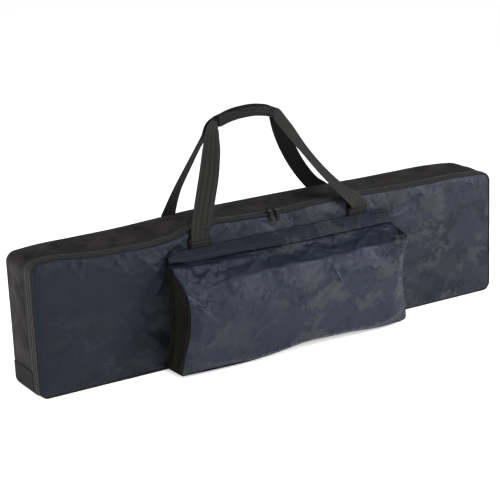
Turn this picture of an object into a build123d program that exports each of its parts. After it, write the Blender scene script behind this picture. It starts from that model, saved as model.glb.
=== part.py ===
from build123d import *
import math
import os

# Padded gig bag for a long keyboard: a soft shell with a zipped front lid, a front pocket,
# two carry handles joined by a wrap-round grip, and ribbed guards on the two lower corners.
#
# Millimetres. +X runs along the bag, the lid and pocket face -Y, +Z is up.
# The origin is the centre of the face that the bag stands on.
#
# "Inset" always means the distance inwards from the bag's outline seen from the front.

# Driving dimensions of the bag
LENGTH = 1380.0
HEIGHT = 346.0
DEPTH = 144.0
CORNER_R = 24.0

# Layers of the padded walls, outside to inside
SKIN = 1.2
PANEL_FOAM = 10.0
LINING = 0.8
GUSSET_FOAM = 9.2
CAVITY_HALF_DEPTH = 60.0
PANEL_INSET = 5.0
FOAM_INSET = 5.2
PIPING_R = 2.5

# Main zip, sewn along the top and both ends, near the front
ZIP_Y = -56.0
COIL_GAP = 1.2
COIL_WIDTH = 3.4
COIL_RISE = 1.3
TAPE = 0.8
LID_TAPE_EDGE_Y = -66.9
SHELL_TAPE_EDGE_Y = -38.0
GUSSET_EDGE_Y = -44.0
COIL_LOWEST_Z = 8.0

# Sliders and their hanging pulls
SLIDER_LENGTH = 14.0
SLIDER_WIDTH = 11.0
SLIDER_PLATE = (1.7, 3.4)
SLIDER_UNDER_PLATE = (-3.6, -2.4)
SLIDER_CORNER_R = 2.5
SLIDER_WEB = (4.0, 0.7)
SLIDER_FLANGE = (8.0, 0.8)
SLIDER_X = {"left": -26.0, "right": -6.0}
PULL_WIDTH = 9.0
PULL_THICKNESS = 1.6
BAIL_R = 0.8
BAIL_WIDTH = 9.0
BAIL_POST = (3.4, 5.0)
PULL_RING_R = 2.2
PULL_NECK = 4.8
PULL_EYE = (3.2, 6.0)
PULL_PIVOT = (-57.0, HEIGHT + 6.0)
PULL_FRONT_Y = -77.6
PULL_LOWEST_Z = 326.0

# Webbing handles
WEB_WIDTH = 50.0
WEB_THICKNESS = 2.2
HANDLE_X = 237.0
STRAP_FOOT = (-79.5, 318.0)
TAB_WIDTH = 60.0
TAB_LOW_Z = 299.5
TAB_TOP_Z = 324.6
TAB_LIP_HEIGHT = 6.5
TAB_DEPTHS = (6.0, 9.2, 11.0)
GRIP_Z = 594.0
GRIP_TURN_R = 30.0
GRIP_LEFT_X = -118.0
GRIP_RIGHT_X = 22.0
GRIP_TOP_Z = GRIP_Z + 18.0
GRIP_LOW_Z = 574.0
GRIP_HALF_DEPTH = 8.0

# Each leg of a handle, from its foot up: x, y, z, lean of its width, twist and width.
# The front handle leans back over the bag, and each leg turns its outer face outwards.
LEFT_LEG = [
    (-237.0, -79.5, 318.0, 0.0, 0.0, 50.0),
    (-237.0, -80.5, 329.0, 0.0, -3.0, 50.0),
    (-236.0, -82.3, 343.0, 6.0, -10.0, 50.0),
    (-232.0, -82.1, 358.0, 15.0, -20.0, 50.0),
    (-214.0, -72.0, 410.0, 22.0, -35.0, 50.0),
    (-191.0, -55.0, 466.0, 24.0, -38.0, 50.0),
    (-170.0, -34.0, 520.0, 24.0, -34.0, 47.0),
    (-157.0, -18.0, 552.0, 24.0, -20.0, 41.0),
]
RIGHT_LEG = [
    (237.0, -79.5, 318.0, 0.0, 0.0, 50.0),
    (237.0, -80.2, 326.0, -4.0, 2.0, 50.0),
    (232.0, -81.5, 336.0, -20.0, 7.0, 50.0),
    (221.0, -82.2, 349.0, -35.0, 14.0, 50.0),
    (206.0, -81.2, 363.0, -42.0, 24.0, 50.0),
    (177.0, -74.0, 393.0, -42.0, 36.0, 49.0),
    (138.0, -60.0, 438.0, -38.0, 42.0, 48.0),
    (101.0, -43.0, 490.0, -35.0, 40.0, 47.0),
    (70.0, -24.0, 541.0, -34.0, 26.0, 43.0),
]
LEFT_LEAN = 24.0
RIGHT_LEAN = 36.0

# Front pocket
POCKET_HALF_LENGTH = 335.0
POCKET_LOW_Z = 8.0
POCKET_FRONT_Y = -164.2
POCKET_SHOULDER_Z = 236.0
MOUTH_LOW = (-86.6, 269.8)
MOUTH_HIGH = (-73.2, 297.0)
FLAP_HINGE = (-79.0, 298.8)
FLAP_TIP = (-98.0, 266.3)
POCKET_SLIDER_X = 307.0

# Ribbed corner guards
GUARD_HEIGHT = 64.0
GUARD_BASE = 1.6
RIB_R = 1.4
RIB_PITCH = 6.4
GUARD_FRONT_Y = -40.0
GUARD_BACK_Y = 68.0

FRONT_Y = -DEPTH / 2
BACK_Y = DEPTH / 2
HALF_STRAIGHT = LENGTH / 2 - CORNER_R
CLEAR = 0.3


# ---------------------------------------------------------------- shapes shared by many parts
def block(x_span, y_span, z_span):
    """Box between two values on each axis."""
    size = [high - low for low, high in (x_span, y_span, z_span)]
    middle = [(high + low) / 2 for low, high in (x_span, y_span, z_span)]
    return Pos(*middle) * Box(*size)


def panel(inset, y_front, y_back):
    """Rounded plate of the bag's front outline, drawn in by inset."""
    shape = RectangleRounded(LENGTH - 2 * inset, HEIGHT - 2 * inset, CORNER_R - inset)
    plane = Plane.XZ.offset(-y_back)
    return extrude(plane * (Pos(0, HEIGHT / 2) * shape), amount=y_back - y_front)


def ring(outer_inset, inner_inset, y_front, y_back):
    """Closed band that follows the outline between two insets."""
    return panel(outer_inset, y_front, y_back) - panel(inner_inset, y_front, y_back)


def straight_bottom(x_half):
    """Space round the flat stretch of the bottom."""
    return block((-x_half, x_half), (-DEPTH, DEPTH), (-CORNER_R, CORNER_R))


def top_and_ends(band):
    """The stretch of a closed band that runs up one end, along the top and down the other."""
    return band - straight_bottom(HALF_STRAIGHT)


def profile_along_x(points, x_low, x_high):
    """Prism along X with a (y, z) outline."""
    face = Plane.YZ.offset(x_low) * make_face(Polyline(*points, close=True))
    return extrude(face, amount=x_high - x_low)


def bead(inset, y, radius):
    """Round cord that follows the whole outline."""
    shape = RectangleRounded(LENGTH - 2 * inset, HEIGHT - 2 * inset, CORNER_R - inset)
    path = (Plane.XZ.offset(-y) * (Pos(0, HEIGHT / 2) * shape)).wire()
    return sweep((path ^ 0) * Circle(radius), path=path)


def mirrored_to_back(shape):
    """The same shape on the back of the bag."""
    return mirror(shape, about=Plane.XZ)


# ---------------------------------------------------------------- padded walls
def front_wall():
    """Skin, foam and lining of the lid, with its piping."""
    foam_y = FRONT_Y + SKIN
    lining_y = foam_y + PANEL_FOAM
    return {
        "front_panel": panel(PANEL_INSET, FRONT_Y, foam_y),
        "front_foam": panel(FOAM_INSET, foam_y, lining_y - LINING / 2),
        "front_lining": panel(FOAM_INSET, lining_y - LINING / 2, lining_y + LINING / 2),
        "front_piping": bead(PIPING_R, FRONT_Y + PIPING_R, PIPING_R),
    }


def back_wall():
    """The same layers on the back of the shell."""
    names = {"front_panel": "back_panel", "front_foam": "back_foam",
             "front_lining": "back_lining", "front_piping": "back_piping"}
    front = front_wall()
    return {names[name]: mirrored_to_back(shape) for name, shape in front.items()}


def gusset_walls():
    """Skins of the gusset: the long band over the top and ends, and the strip the bag stands on."""
    bottom_x = HALF_STRAIGHT - CLEAR
    return {
        "gusset": top_and_ends(ring(0, SKIN, GUSSET_EDGE_Y, BACK_Y - 5.0)),
        "bottom_gusset": block((-bottom_x, bottom_x), (FRONT_Y + 5.3, BACK_Y - 5.0), (0, SKIN)),
        "lid_gusset": top_and_ends(ring(0, SKIN, FRONT_Y + 5.0, FRONT_Y + 9.0)),
    }


def gusset_padding():
    """Foam boards behind the gusset, with the lining that covers them."""
    outer = SKIN + TAPE
    inner = outer + GUSSET_FOAM
    boards = ring(outer, inner, GUSSET_EDGE_Y, CAVITY_HALF_DEPTH)
    flat_x = HALF_STRAIGHT - CLEAR
    y_span = (-DEPTH, DEPTH)
    end_zone = block((HALF_STRAIGHT, LENGTH), y_span, (-CORNER_R, HEIGHT + CORNER_R))
    return {
        "top_foam": boards & block((-flat_x, flat_x), y_span, (HEIGHT / 2, HEIGHT)),
        "bottom_foam": boards & block((-flat_x, flat_x), y_span, (0, HEIGHT / 2)),
        "right_end_foam": boards & end_zone,
        "left_end_foam": boards & mirror(end_zone, about=Plane.YZ),
        "gusset_lining": ring(inner, inner + LINING, GUSSET_EDGE_Y, CAVITY_HALF_DEPTH),
    }


# ---------------------------------------------------------------- main zip
def main_zip():
    """Both tapes and both coil halves of the zip that joins lid and shell."""
    lid_y = ZIP_Y - COIL_GAP / 2
    shell_y = ZIP_Y + COIL_GAP / 2
    tape_inner = SKIN + TAPE
    above_floor = block((-LENGTH, LENGTH), (-DEPTH, DEPTH), (COIL_LOWEST_Z, 2 * HEIGHT))
    lid_coil = ring(-COIL_RISE, SKIN, lid_y - COIL_WIDTH, lid_y)
    shell_coil = ring(-COIL_RISE, SKIN, shell_y, shell_y + COIL_WIDTH)
    return {
        "lid_zip_tape": top_and_ends(ring(SKIN, tape_inner, LID_TAPE_EDGE_Y, lid_y)),
        "lid_zip_coil": top_and_ends(lid_coil) & above_floor,
        "shell_zip_tape": top_and_ends(ring(SKIN, tape_inner, shell_y, SHELL_TAPE_EDGE_Y)),
        "shell_zip_coil": top_and_ends(shell_coil) & above_floor,
    }


def slider(x):
    """Zip slider on the top edge: two plates, a centre web between the coils, flanges and a bail."""
    x_span = (x - SLIDER_LENGTH / 2, x + SLIDER_LENGTH / 2)
    y_span = (ZIP_Y - SLIDER_WIDTH / 2, ZIP_Y + SLIDER_WIDTH / 2)
    plates = []
    for low, high in (SLIDER_PLATE, SLIDER_UNDER_PLATE):
        plate = block(x_span, y_span, (HEIGHT + low, HEIGHT + high))
        plates.append(fillet(plate.edges().filter_by(Axis.Z), SLIDER_CORNER_R))
    web_z = (HEIGHT + SLIDER_UNDER_PLATE[1] - 0.2, HEIGHT + SLIDER_PLATE[0] + 0.2)
    half_web = SLIDER_WEB[1] / 2
    web = block((x - SLIDER_WEB[0] / 2, x + SLIDER_WEB[0] / 2), (ZIP_Y - half_web, ZIP_Y + half_web), web_z)
    flange_x = (x - SLIDER_FLANGE[0] / 2, x + SLIDER_FLANGE[0] / 2)
    flange_z = (HEIGHT - 0.9, web_z[1])
    front_flange = block(flange_x, (y_span[0], y_span[0] + SLIDER_FLANGE[1]), flange_z)
    back_flange = block(flange_x, (y_span[1] - SLIDER_FLANGE[1], y_span[1]), flange_z)
    return plates[0] + plates[1] + web + front_flange + back_flange + bail(x)


def bail(x):
    """Bar on two posts that a slider's pull hooks over."""
    pivot_y, pivot_z = PULL_PIVOT
    shape = Pos(x, pivot_y, pivot_z) * Rot(0, 90, 0) * Cylinder(BAIL_R, BAIL_WIDTH)
    post_y = (pivot_y - BAIL_R, pivot_y + BAIL_R)
    post_z = (HEIGHT + SLIDER_PLATE[1] - 0.2, pivot_z + BAIL_R)
    for side in (-1, 1):
        post_x = sorted(x + side * reach for reach in BAIL_POST)
        shape = shape + block(post_x, post_y, post_z)
    return shape


def pull(x):
    """Pull tab that hooks through the bail, passes over the piping and hangs down the lid."""
    pivot_y, pivot_z = PULL_PIVOT
    half = PULL_THICKNESS / 2
    back_y = PULL_FRONT_Y + PULL_THICKNESS
    side = [
        (pivot_y - 1.6, pivot_z - half),
        (pivot_y - 1.6, pivot_z + half),
        (PULL_FRONT_Y + 1.6, pivot_z + half),
        (PULL_FRONT_Y, pivot_z - 1.2),
        (PULL_FRONT_Y, PULL_LOWEST_Z),
        (back_y, PULL_LOWEST_Z),
        (back_y, pivot_z - half - 1.0),
        (back_y + 1.0, pivot_z - half),
    ]
    tab = profile_along_x(side, x - PULL_WIDTH / 2, x + PULL_WIDTH / 2)
    for side_sign in (-1, 1):
        cut_x = sorted((x + side_sign * PULL_NECK / 2, x + side_sign * PULL_WIDTH))
        tab = tab - block(cut_x, (pivot_y - 7.0, pivot_y), (pivot_z - 3, pivot_z + 3))
    eye_z = (PULL_LOWEST_Z + 3, PULL_LOWEST_Z + 3 + PULL_EYE[1])
    eye = block((x - PULL_EYE[0] / 2, x + PULL_EYE[0] / 2), (PULL_FRONT_Y - 1, back_y + 1), eye_z)
    ring_place = Pos(x, pivot_y, pivot_z) * Rot(0, 90, 0)
    ring_outer = ring_place * Cylinder(PULL_RING_R, PULL_NECK)
    ring_hole = ring_place * Cylinder(BAIL_R + CLEAR, PULL_NECK + 1)
    return tab + ring_outer - ring_hole - eye


def sliders_and_pulls():
    """Both sliders meet near the middle of the top edge."""
    parts = {}
    for side, x in SLIDER_X.items():
        parts[side + "_zip_slider"] = slider(x)
        parts[side + "_zip_pull"] = pull(x)
    return parts


# ---------------------------------------------------------------- handles
def strap_centres():
    """Stations of the front handle's webbing, from its left foot over the grip to its right foot."""
    left = LEFT_LEG + grip_turn(GRIP_LEFT_X - 1.0, LEFT_LEAN, 1)
    right = RIGHT_LEG + grip_turn(GRIP_RIGHT_X + 1.0, RIGHT_LEAN, -1)
    return left + [(x, y, z, lean + 180, -twist, width)
                   for x, y, z, lean, twist, width in reversed(right)]


def grip_turn(turn_x, lean, side):
    """Stations round the edgewise turn from the top of a leg into the grip."""
    grip_y = -(1.0 + WEB_THICKNESS / 2)
    turn_z = GRIP_Z - GRIP_TURN_R
    turn = []
    for step, (depth, twist, width) in enumerate(((4, 10, 36), (3, 4, 33), (2, 0, 31), (1, 0, 30))):
        angle = lean + (90 - lean) * step / 3
        x = turn_x - side * GRIP_TURN_R * math.cos(math.radians(angle))
        z = turn_z + GRIP_TURN_R * math.sin(math.radians(angle))
        turn.append((x, grip_y * depth, z, side * angle, -side * twist, width))
    return turn


def webbing(stations):
    """Flat strap lofted through its stations."""
    points = [Vector(*station[:3]) for station in stations]
    sections = []
    last = len(stations) - 1
    for i, (x, y, z, lean, twist, width) in enumerate(stations):
        along = (points[min(i + 1, last)] - points[max(i - 1, 0)]).normalized()
        across = Vector(math.cos(math.radians(lean)), 0, -math.sin(math.radians(lean)))
        across = across.rotate(Axis((0, 0, 0), along), twist)
        across = (across - along * across.dot(along)).normalized()
        plane = Plane(origin=(x, y, z), x_dir=across, z_dir=along)
        sections.append(plane * Rectangle(width, WEB_THICKNESS))
    return loft(sections, ruled=True)


def handle_tab(x):
    """Folded, box-stitched tab that holds the foot of the webbing."""
    base, slot_front, lip = (FRONT_Y - depth for depth in TAB_DEPTHS)
    lip_z = TAB_LOW_Z + TAB_LIP_HEIGHT
    side = [
        (FRONT_Y, TAB_LOW_Z),
        (lip, TAB_LOW_Z),
        (lip, lip_z),
        (slot_front, lip_z),
        (slot_front, TAB_LOW_Z + 2.0),
        (base, TAB_LOW_Z + 2.0),
        (base, TAB_TOP_Z),
        (FRONT_Y, TAB_TOP_Z),
    ]
    return profile_along_x(side, x - TAB_WIDTH / 2, x + TAB_WIDTH / 2)


def handle_root(x):
    """The sewn-down end of the webbing, inside the tab."""
    foot_y, foot_z = STRAP_FOOT
    half = WEB_THICKNESS / 2
    y_span = (foot_y - half, foot_y + half)
    return block((x - WEB_WIDTH / 2, x + WEB_WIDTH / 2), y_span, (TAB_LOW_Z + 2.1, foot_z - 1.5))


def handles():
    """Front and back handles with their tabs."""
    front = webbing(strap_centres())
    parts = {"front_handle": front, "back_handle": mirrored_to_back(front)}
    for side, x in (("left", -HANDLE_X), ("right", HANDLE_X)):
        tab = handle_tab(x)
        root = handle_root(x)
        parts["front_" + side + "_tab"] = tab
        parts["front_" + side + "_web_root"] = root
        parts["back_" + side + "_tab"] = mirrored_to_back(tab)
        parts["back_" + side + "_web_root"] = mirrored_to_back(root)
    return parts


def grip():
    """Padded wrap that joins both handles: a back channel, a hinged front flap and its closure."""
    x_span = (GRIP_LEFT_X, GRIP_RIGHT_X)
    fold_z = GRIP_TOP_Z - 2.5
    back_low_z = GRIP_LOW_Z + 3.0
    wrap = [
        (-0.5, fold_z),
        (-0.5, GRIP_TOP_Z),
        (GRIP_HALF_DEPTH, GRIP_TOP_Z),
        (GRIP_HALF_DEPTH, back_low_z),
        (-0.5, back_low_z),
        (-0.5, back_low_z + 1.5),
        (3.3, back_low_z + 1.5),
        (3.3, fold_z),
    ]
    flap = [
        (-0.8, fold_z),
        (-0.8, GRIP_TOP_Z),
        (-GRIP_HALF_DEPTH, GRIP_TOP_Z),
        (-GRIP_HALF_DEPTH, GRIP_LOW_Z),
        (7.0, GRIP_LOW_Z),
        (7.0, GRIP_LOW_Z + 1.0),
        (-3.6, GRIP_LOW_Z + 1.0),
        (-3.6, fold_z),
    ]
    strip_x = (GRIP_LEFT_X + 6, GRIP_RIGHT_X - 6)
    strip_y = (0.5, 7.0)
    return {
        "grip_wrap": profile_along_x(wrap, *x_span),
        "grip_flap": profile_along_x(flap, *x_span),
        "grip_loop_strip": block(strip_x, strip_y, (back_low_z - 1.0, back_low_z)),
        "grip_hook_strip": block(strip_x, strip_y, (GRIP_LOW_Z + 1.0, GRIP_LOW_Z + 1.9)),
    }


# ---------------------------------------------------------------- front pocket
def mouth_point(along, out):
    """Point (y, z) at a distance up the pocket's zip band and outwards from it."""
    rise = (MOUTH_HIGH[0] - MOUTH_LOW[0], MOUTH_HIGH[1] - MOUTH_LOW[1])
    size = math.hypot(*rise)
    up = (rise[0] / size, rise[1] / size)
    return (MOUTH_LOW[0] + up[0] * along - up[1] * out, MOUTH_LOW[1] + up[1] * along + up[0] * out)


def mouth_strip(along_span, out_span, x_span):
    """Bar that lies in the zip band's own slant."""
    corners = [
        mouth_point(along_span[0], out_span[0]),
        mouth_point(along_span[1], out_span[0]),
        mouth_point(along_span[1], out_span[1]),
        mouth_point(along_span[0], out_span[1]),
    ]
    return profile_along_x(corners, *x_span)


def pocket_walls():
    """Floor, sides, face and sloped top of the pocket."""
    half = POCKET_HALF_LENGTH
    floor_z = (POCKET_LOW_Z, POCKET_LOW_Z + SKIN)
    side = [
        (FRONT_Y - 0.2, floor_z[1] + CLEAR),
        (POCKET_FRONT_Y + CLEAR, floor_z[1] + CLEAR),
        (POCKET_FRONT_Y + CLEAR, POCKET_SHOULDER_Z - 0.3),
        (MOUTH_LOW[0] + 0.6, MOUTH_LOW[1] - 2.4),
        (FRONT_Y - 0.2, MOUTH_HIGH[1] - 2.0),
    ]
    top = [
        (POCKET_FRONT_Y, POCKET_SHOULDER_Z + CLEAR),
        (MOUTH_LOW[0] + 0.2, MOUTH_LOW[1] - 1.7),
        (MOUTH_LOW[0] - 0.3, MOUTH_LOW[1] - 0.5),
        (POCKET_FRONT_Y - SKIN, POCKET_SHOULDER_Z + 1.2),
    ]
    return {
        "pocket_floor": block((-half, half), (POCKET_FRONT_Y + 0.2, FRONT_Y), floor_z),
        "pocket_left_side": profile_along_x(side, -half, -half + SKIN),
        "pocket_right_side": profile_along_x(side, half - SKIN, half),
        "pocket_face": block((-half, half), (POCKET_FRONT_Y - SKIN, POCKET_FRONT_Y),
                             (POCKET_LOW_Z, POCKET_SHOULDER_Z)),
        "pocket_top": profile_along_x(top, -half, half),
    }


def pocket_zip():
    """Zip across the pocket's mouth, with a garage where the slider parks."""
    half = POCKET_HALF_LENGTH - 3.0
    x = POCKET_SLIDER_X
    parked = x - 9.0
    tape_out = (-TAPE / 2, TAPE / 2)
    coil_out = (TAPE / 2, TAPE / 2 + 2.0)
    plate_along = (9.6, 20.8)
    plate_x = (x - 5.5, x + 5.5)
    plates = mouth_strip(plate_along, (2.7, 3.7), plate_x) + mouth_strip(plate_along, (-1.8, -0.8), plate_x)
    web = mouth_strip((14.85, 15.55), (-1.0, 2.9), (x - 1.5, x + 1.5))
    boss = mouth_strip((13.6, 16.8), (3.5, 4.2), (x - 2.0, x + 2.0))
    return {
        "pocket_lower_tape": mouth_strip((0.3, 14.2), tape_out, (-half, half)),
        "pocket_lower_coil": mouth_strip((11.8, 14.6), coil_out, (-half, half)),
        "pocket_upper_tape": mouth_strip((16.2, 29.6), tape_out, (-half, parked)),
        "pocket_upper_coil": mouth_strip((15.8, 18.6), coil_out, (-half, parked)),
        "pocket_zip_garage": mouth_strip((14.9, 24.0), tape_out, (x + 8.0, half)),
        "pocket_slider": plates + web + boss,
        "pocket_pull": mouth_strip((12.4, 18.0), (4.3, 5.3), (x - 26.0, x)),
    }


def pocket_flap():
    """Storm flap that hangs over the pocket's zip, and the strip it is sewn to."""
    down = (FLAP_TIP[0] - FLAP_HINGE[0], FLAP_TIP[1] - FLAP_HINGE[1])
    size = math.hypot(*down)
    inward = (-down[1] / size * SKIN, down[0] / size * SKIN)
    outline = [
        FLAP_HINGE,
        FLAP_TIP,
        (FLAP_TIP[0] + inward[0], FLAP_TIP[1] + inward[1]),
        (FLAP_HINGE[0] + inward[0], FLAP_HINGE[1] + inward[1]),
    ]
    half = POCKET_HALF_LENGTH
    return {
        "pocket_flap": profile_along_x(outline, -half, half),
        "flap_root": block((-half, half), (FLAP_HINGE[0] + 1.4, FRONT_Y), (297.6, 298.8)),
    }


# ---------------------------------------------------------------- corner guards
def corner_guard():
    """Ribbed moulding over the lower right corner of the gusset."""
    y_mid = (GUARD_FRONT_Y + GUARD_BACK_Y) / 2
    width = GUARD_BACK_Y - GUARD_FRONT_Y
    zone = block((HALF_STRAIGHT, LENGTH), (-DEPTH, DEPTH), (0, GUARD_HEIGHT))
    guard = ring(-GUARD_BASE, 0, GUARD_FRONT_Y, GUARD_BACK_Y) & zone
    rib_radius = CORNER_R + GUARD_BASE
    rib = Rot(90, 0, 0) * Cylinder(RIB_R, width)
    places = []
    straight_ribs = int((GUARD_HEIGHT - CORNER_R - RIB_R) / RIB_PITCH) + 1
    for i in range(straight_ribs):
        places.append((LENGTH / 2 + GUARD_BASE, CORNER_R + i * RIB_PITCH))
    turn_step = RIB_PITCH / rib_radius
    for i in range(1, 5):
        x = HALF_STRAIGHT + rib_radius * math.cos(i * turn_step)
        z = CORNER_R - rib_radius * math.sin(i * turn_step)
        places.append((x, z))
    for x, z in places:
        guard = guard + Pos(x, y_mid, z) * rib
    return guard & block((HALF_STRAIGHT, LENGTH), (-DEPTH, DEPTH), (0, HEIGHT))


def corner_guards():
    """One guard at each end."""
    right = corner_guard()
    return {"right_corner_guard": right, "left_corner_guard": mirror(right, about=Plane.YZ)}


def main():
    """Write each sub-part to its own file."""
    os.makedirs("parts", exist_ok=True)
    makers = (front_wall, back_wall, gusset_walls, gusset_padding, main_zip, sliders_and_pulls,
              handles, grip, pocket_walls, pocket_zip, pocket_flap, corner_guards)
    for maker in makers:
        for name, shape in maker().items():
            export_step(shape, "parts/" + name + ".step")


main()
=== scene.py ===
import math

import bpy
import numpy as np
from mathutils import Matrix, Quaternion, Vector
from numpy import clip, exp, linspace, maximum, minimum


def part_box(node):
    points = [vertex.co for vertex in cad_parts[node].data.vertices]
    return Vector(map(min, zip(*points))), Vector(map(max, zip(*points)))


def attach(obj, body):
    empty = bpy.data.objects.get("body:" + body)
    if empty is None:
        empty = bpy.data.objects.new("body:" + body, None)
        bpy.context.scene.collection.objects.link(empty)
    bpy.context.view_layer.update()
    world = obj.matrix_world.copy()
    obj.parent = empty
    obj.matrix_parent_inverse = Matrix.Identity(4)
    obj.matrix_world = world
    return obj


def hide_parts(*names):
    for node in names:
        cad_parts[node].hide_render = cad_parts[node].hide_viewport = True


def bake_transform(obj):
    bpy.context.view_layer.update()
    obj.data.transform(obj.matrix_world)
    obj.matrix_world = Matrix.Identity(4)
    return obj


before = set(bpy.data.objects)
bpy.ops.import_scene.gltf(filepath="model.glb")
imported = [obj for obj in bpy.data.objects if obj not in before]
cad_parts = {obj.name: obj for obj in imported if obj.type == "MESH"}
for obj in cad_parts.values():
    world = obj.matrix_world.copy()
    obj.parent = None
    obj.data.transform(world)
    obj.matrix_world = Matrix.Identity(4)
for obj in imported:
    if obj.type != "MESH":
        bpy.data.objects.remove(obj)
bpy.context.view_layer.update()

MM = 0.001
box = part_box

# ---- sizes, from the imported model
HALF = box("gusset")[1].x
TOP = box("gusset")[1].z
GUSSET_Y = (box("gusset")[0].y, box("gusset")[1].y)
CORNER = 24 * MM
FRONT_Y = box("front_panel")[0].y
BACK_Y = box("back_panel")[1].y
PANEL_INSET = HALF - box("front_panel")[1].x
FOAM_BACK_Y = box("front_foam")[1].y
PAD_INSET = TOP - box("top_foam")[0].z
POCKET_HALF = box("pocket_face")[1].x
POCKET_Y = box("pocket_face")[0].y
POCKET_LOW = box("pocket_face")[0].z
SHOULDER_Z = box("pocket_face")[1].z
MOUTH = (box("pocket_top")[1].y, box("pocket_top")[1].z)
HANDLE_X = 237 * MM
PIPING_R = 2.5 * MM
FACING_Y = -27 * MM
CLEAR = 0.1 * MM
SEAM_MARGIN = 6 * MM
TAB_HALF = 34 * MM
TAB_TOP = 330 * MM
LINING_THICK = 0.7 * MM
POCKET_THICK = 1.0 * MM
TOOTH_PITCH = 3 * MM
POCKET_TOOTH_PITCH = 2.4 * MM
GRIP_Z = 594 * MM


# ---- curves and fields
def smooth(t):
    """0 to 1, easing at both ends."""
    t = clip(t, 0, 1)
    return t * t * (3 - 2 * t)


def inside(t, margin):
    """1 in the middle of a span from 0 to 1, easing to 0 over a margin at both ends."""
    return smooth(minimum(t, 1 - t) / margin)


def at_handles(x, half, fade):
    """1 within half a width of either handle's foot, easing to 0 beyond."""
    return smooth((half - abs(abs(x) - HANDLE_X)) / fade)


def hump(x, middle, width):
    """Bell of height 1."""
    return exp(-((x - middle) / width) ** 2)


def through(points):
    """A smooth curve through listed (x, value) points in millimetres; it gives metres."""
    xs, vs = (np.array(c, float) * MM for c in zip(*points))
    slope = np.gradient(vs, xs)

    def at(x):
        x = clip(x, xs[0], xs[-1])
        i = clip(np.searchsorted(xs, x) - 1, 0, len(xs) - 2)
        step = xs[i + 1] - xs[i]
        t = (x - xs[i]) / step
        a = vs[i] * (1 + 2 * t) * (1 - t) ** 2 + slope[i] * step * t * (1 - t) ** 2
        b = vs[i + 1] * t * t * (3 - 2 * t) + slope[i + 1] * step * t * t * (t - 1)
        return a + b

    return at


def spline(p0, p1, p2, p3, f):
    """Point at a share f of the way from p1 to p2, on the smooth curve through all four."""
    return 0.5 * (2 * p1 + (p2 - p0) * f + (2 * p0 - 5 * p1 + 4 * p2 - p3) * f ** 2
                  + (3 * p1 - p0 - 3 * p2 + p3) * f ** 3)


def noise(u, v, cell, seed, octaves=2):
    """Smooth random field over (u, v), about -1 to 1, with features one cell across."""
    rng = np.random.default_rng(seed)
    total, weight = 0.0, 0.0
    for octave in range(octaves):
        table = rng.uniform(-1, 1, (128, 128))
        turn, share = 0.6 + 1.1 * octave, 0.55 ** octave
        a = (u * math.cos(turn) - v * math.sin(turn)) / cell * 2 ** octave + 31.7
        b = (u * math.sin(turn) + v * math.cos(turn)) / cell * 2 ** octave + 47.3
        i, j = np.floor(a).astype(int), np.floor(b).astype(int)
        fa, fb = smooth(a - i), smooth(b - j)
        i, j = i % 127, j % 127
        low = table[i, j] * (1 - fa) + table[i + 1, j] * fa
        high = table[i, j + 1] * (1 - fa) + table[i + 1, j + 1] * fa
        total = total + share * (low * (1 - fb) + high * fb)
        weight += share
    return total / weight


def creases(u, v, lines):
    """Height of folds over (u, v). A line is (u0, v0, u1, v1, width, height, bow), in millimetres."""
    height = np.zeros_like(u)
    for line in lines:
        u0, v0, u1, v1, width, rise, bow = (value * MM for value in line)
        du, dv = u1 - u0, v1 - v0
        length = math.hypot(du, dv)
        along = ((u - u0) * du + (v - v0) * dv) / length ** 2
        across = ((v - v0) * du - (u - u0) * dv) / length
        near = (along > -0.1) & (along < 1.1) & (abs(across) < abs(bow) + 5 * width)
        t, d = along[near], across[near]
        d = d - bow * 4 * t * (1 - t)
        fade = smooth(t / 0.3 + 0.1) * smooth((1 - t) / 0.3 + 0.1)
        height[near] += rise * fade * exp(-np.sqrt((d / width) ** 2 + 0.06) + 0.245)
    return height


def crumple(u, v, cell, seed, angle=0.75, stretch=0.5, thin=0.2):
    """Thin branching ridges of crumpled cloth, 0 to 1, that run at an angle and break off."""
    bend = 0.4 * cell * noise(u, v, 1.5 * cell, seed + 40)
    along = (u * math.cos(angle) + v * math.sin(angle)) * stretch + bend
    across = v * math.cos(angle) - u * math.sin(angle) - bend
    ridge = exp(-abs(noise(along, across, cell, seed)) / thin)
    return ridge * smooth(0.5 + 1.6 * noise(u, v, 1.3 * cell, seed + 80))


def puckers(span, along_v, out, rise, seed, gap=(14, 34), length=(10, 26)):
    """Short folds that fan in from a seam: lines for creases(), in millimetres."""
    rng = np.random.default_rng(seed)
    lines = []
    at = span[0]
    while at < span[1]:
        reach = rng.uniform(*length) * out
        tilt = rng.uniform(-0.3, 0.3) * abs(reach)
        height = rise * rng.uniform(0.3, 1.0) * rng.choice((-0.7, 1.0))
        lines.append((at, along_v - 0.15 * reach, at + tilt, along_v + reach,
                      rng.uniform(2.2, 4.6), height, rng.uniform(-2, 2)))
        at += rng.uniform(*gap)
    return lines


# How far the top edge stands above (or below) its plain height, at the zip and at the back.
front_top = through([(-690, -8), (-616, -4), (-560, -11), (-450, -17), (-350, -17), (-295, -10),
                     (-255, 3), (-200, 7), (-100, 3), (-50, 1), (-15, 0), (30, 1), (100, 4), (237, 6),
                     (330, 2), (450, 0), (584, 0), (660, -4), (690, -8)])
back_top = through([(-690, -9), (-616, -3), (-500, -2), (-400, -1), (-300, 3), (-200, 8), (-60, 9),
                    (100, 9), (237, 8), (330, 6), (450, 6), (584, 5), (650, 0), (690, -7)])


def lift(x, y, z):
    """How far a point of the walls is raised: all of it at the top edge, none low down."""
    back = smooth((y - GUSSET_Y[0]) / (GUSSET_Y[1] - GUSSET_Y[0]))
    rise = front_top(x) * (1 - back) + back_top(x) * back
    behind_pocket = smooth((POCKET_HALF + 0.03 - abs(x)) / 0.06) * smooth(1 - (y - FRONT_Y) / 0.03)
    start = 0.12 + 0.178 * behind_pocket
    return rise * smooth((z - start) / (TOP - 0.012 - start))


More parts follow.
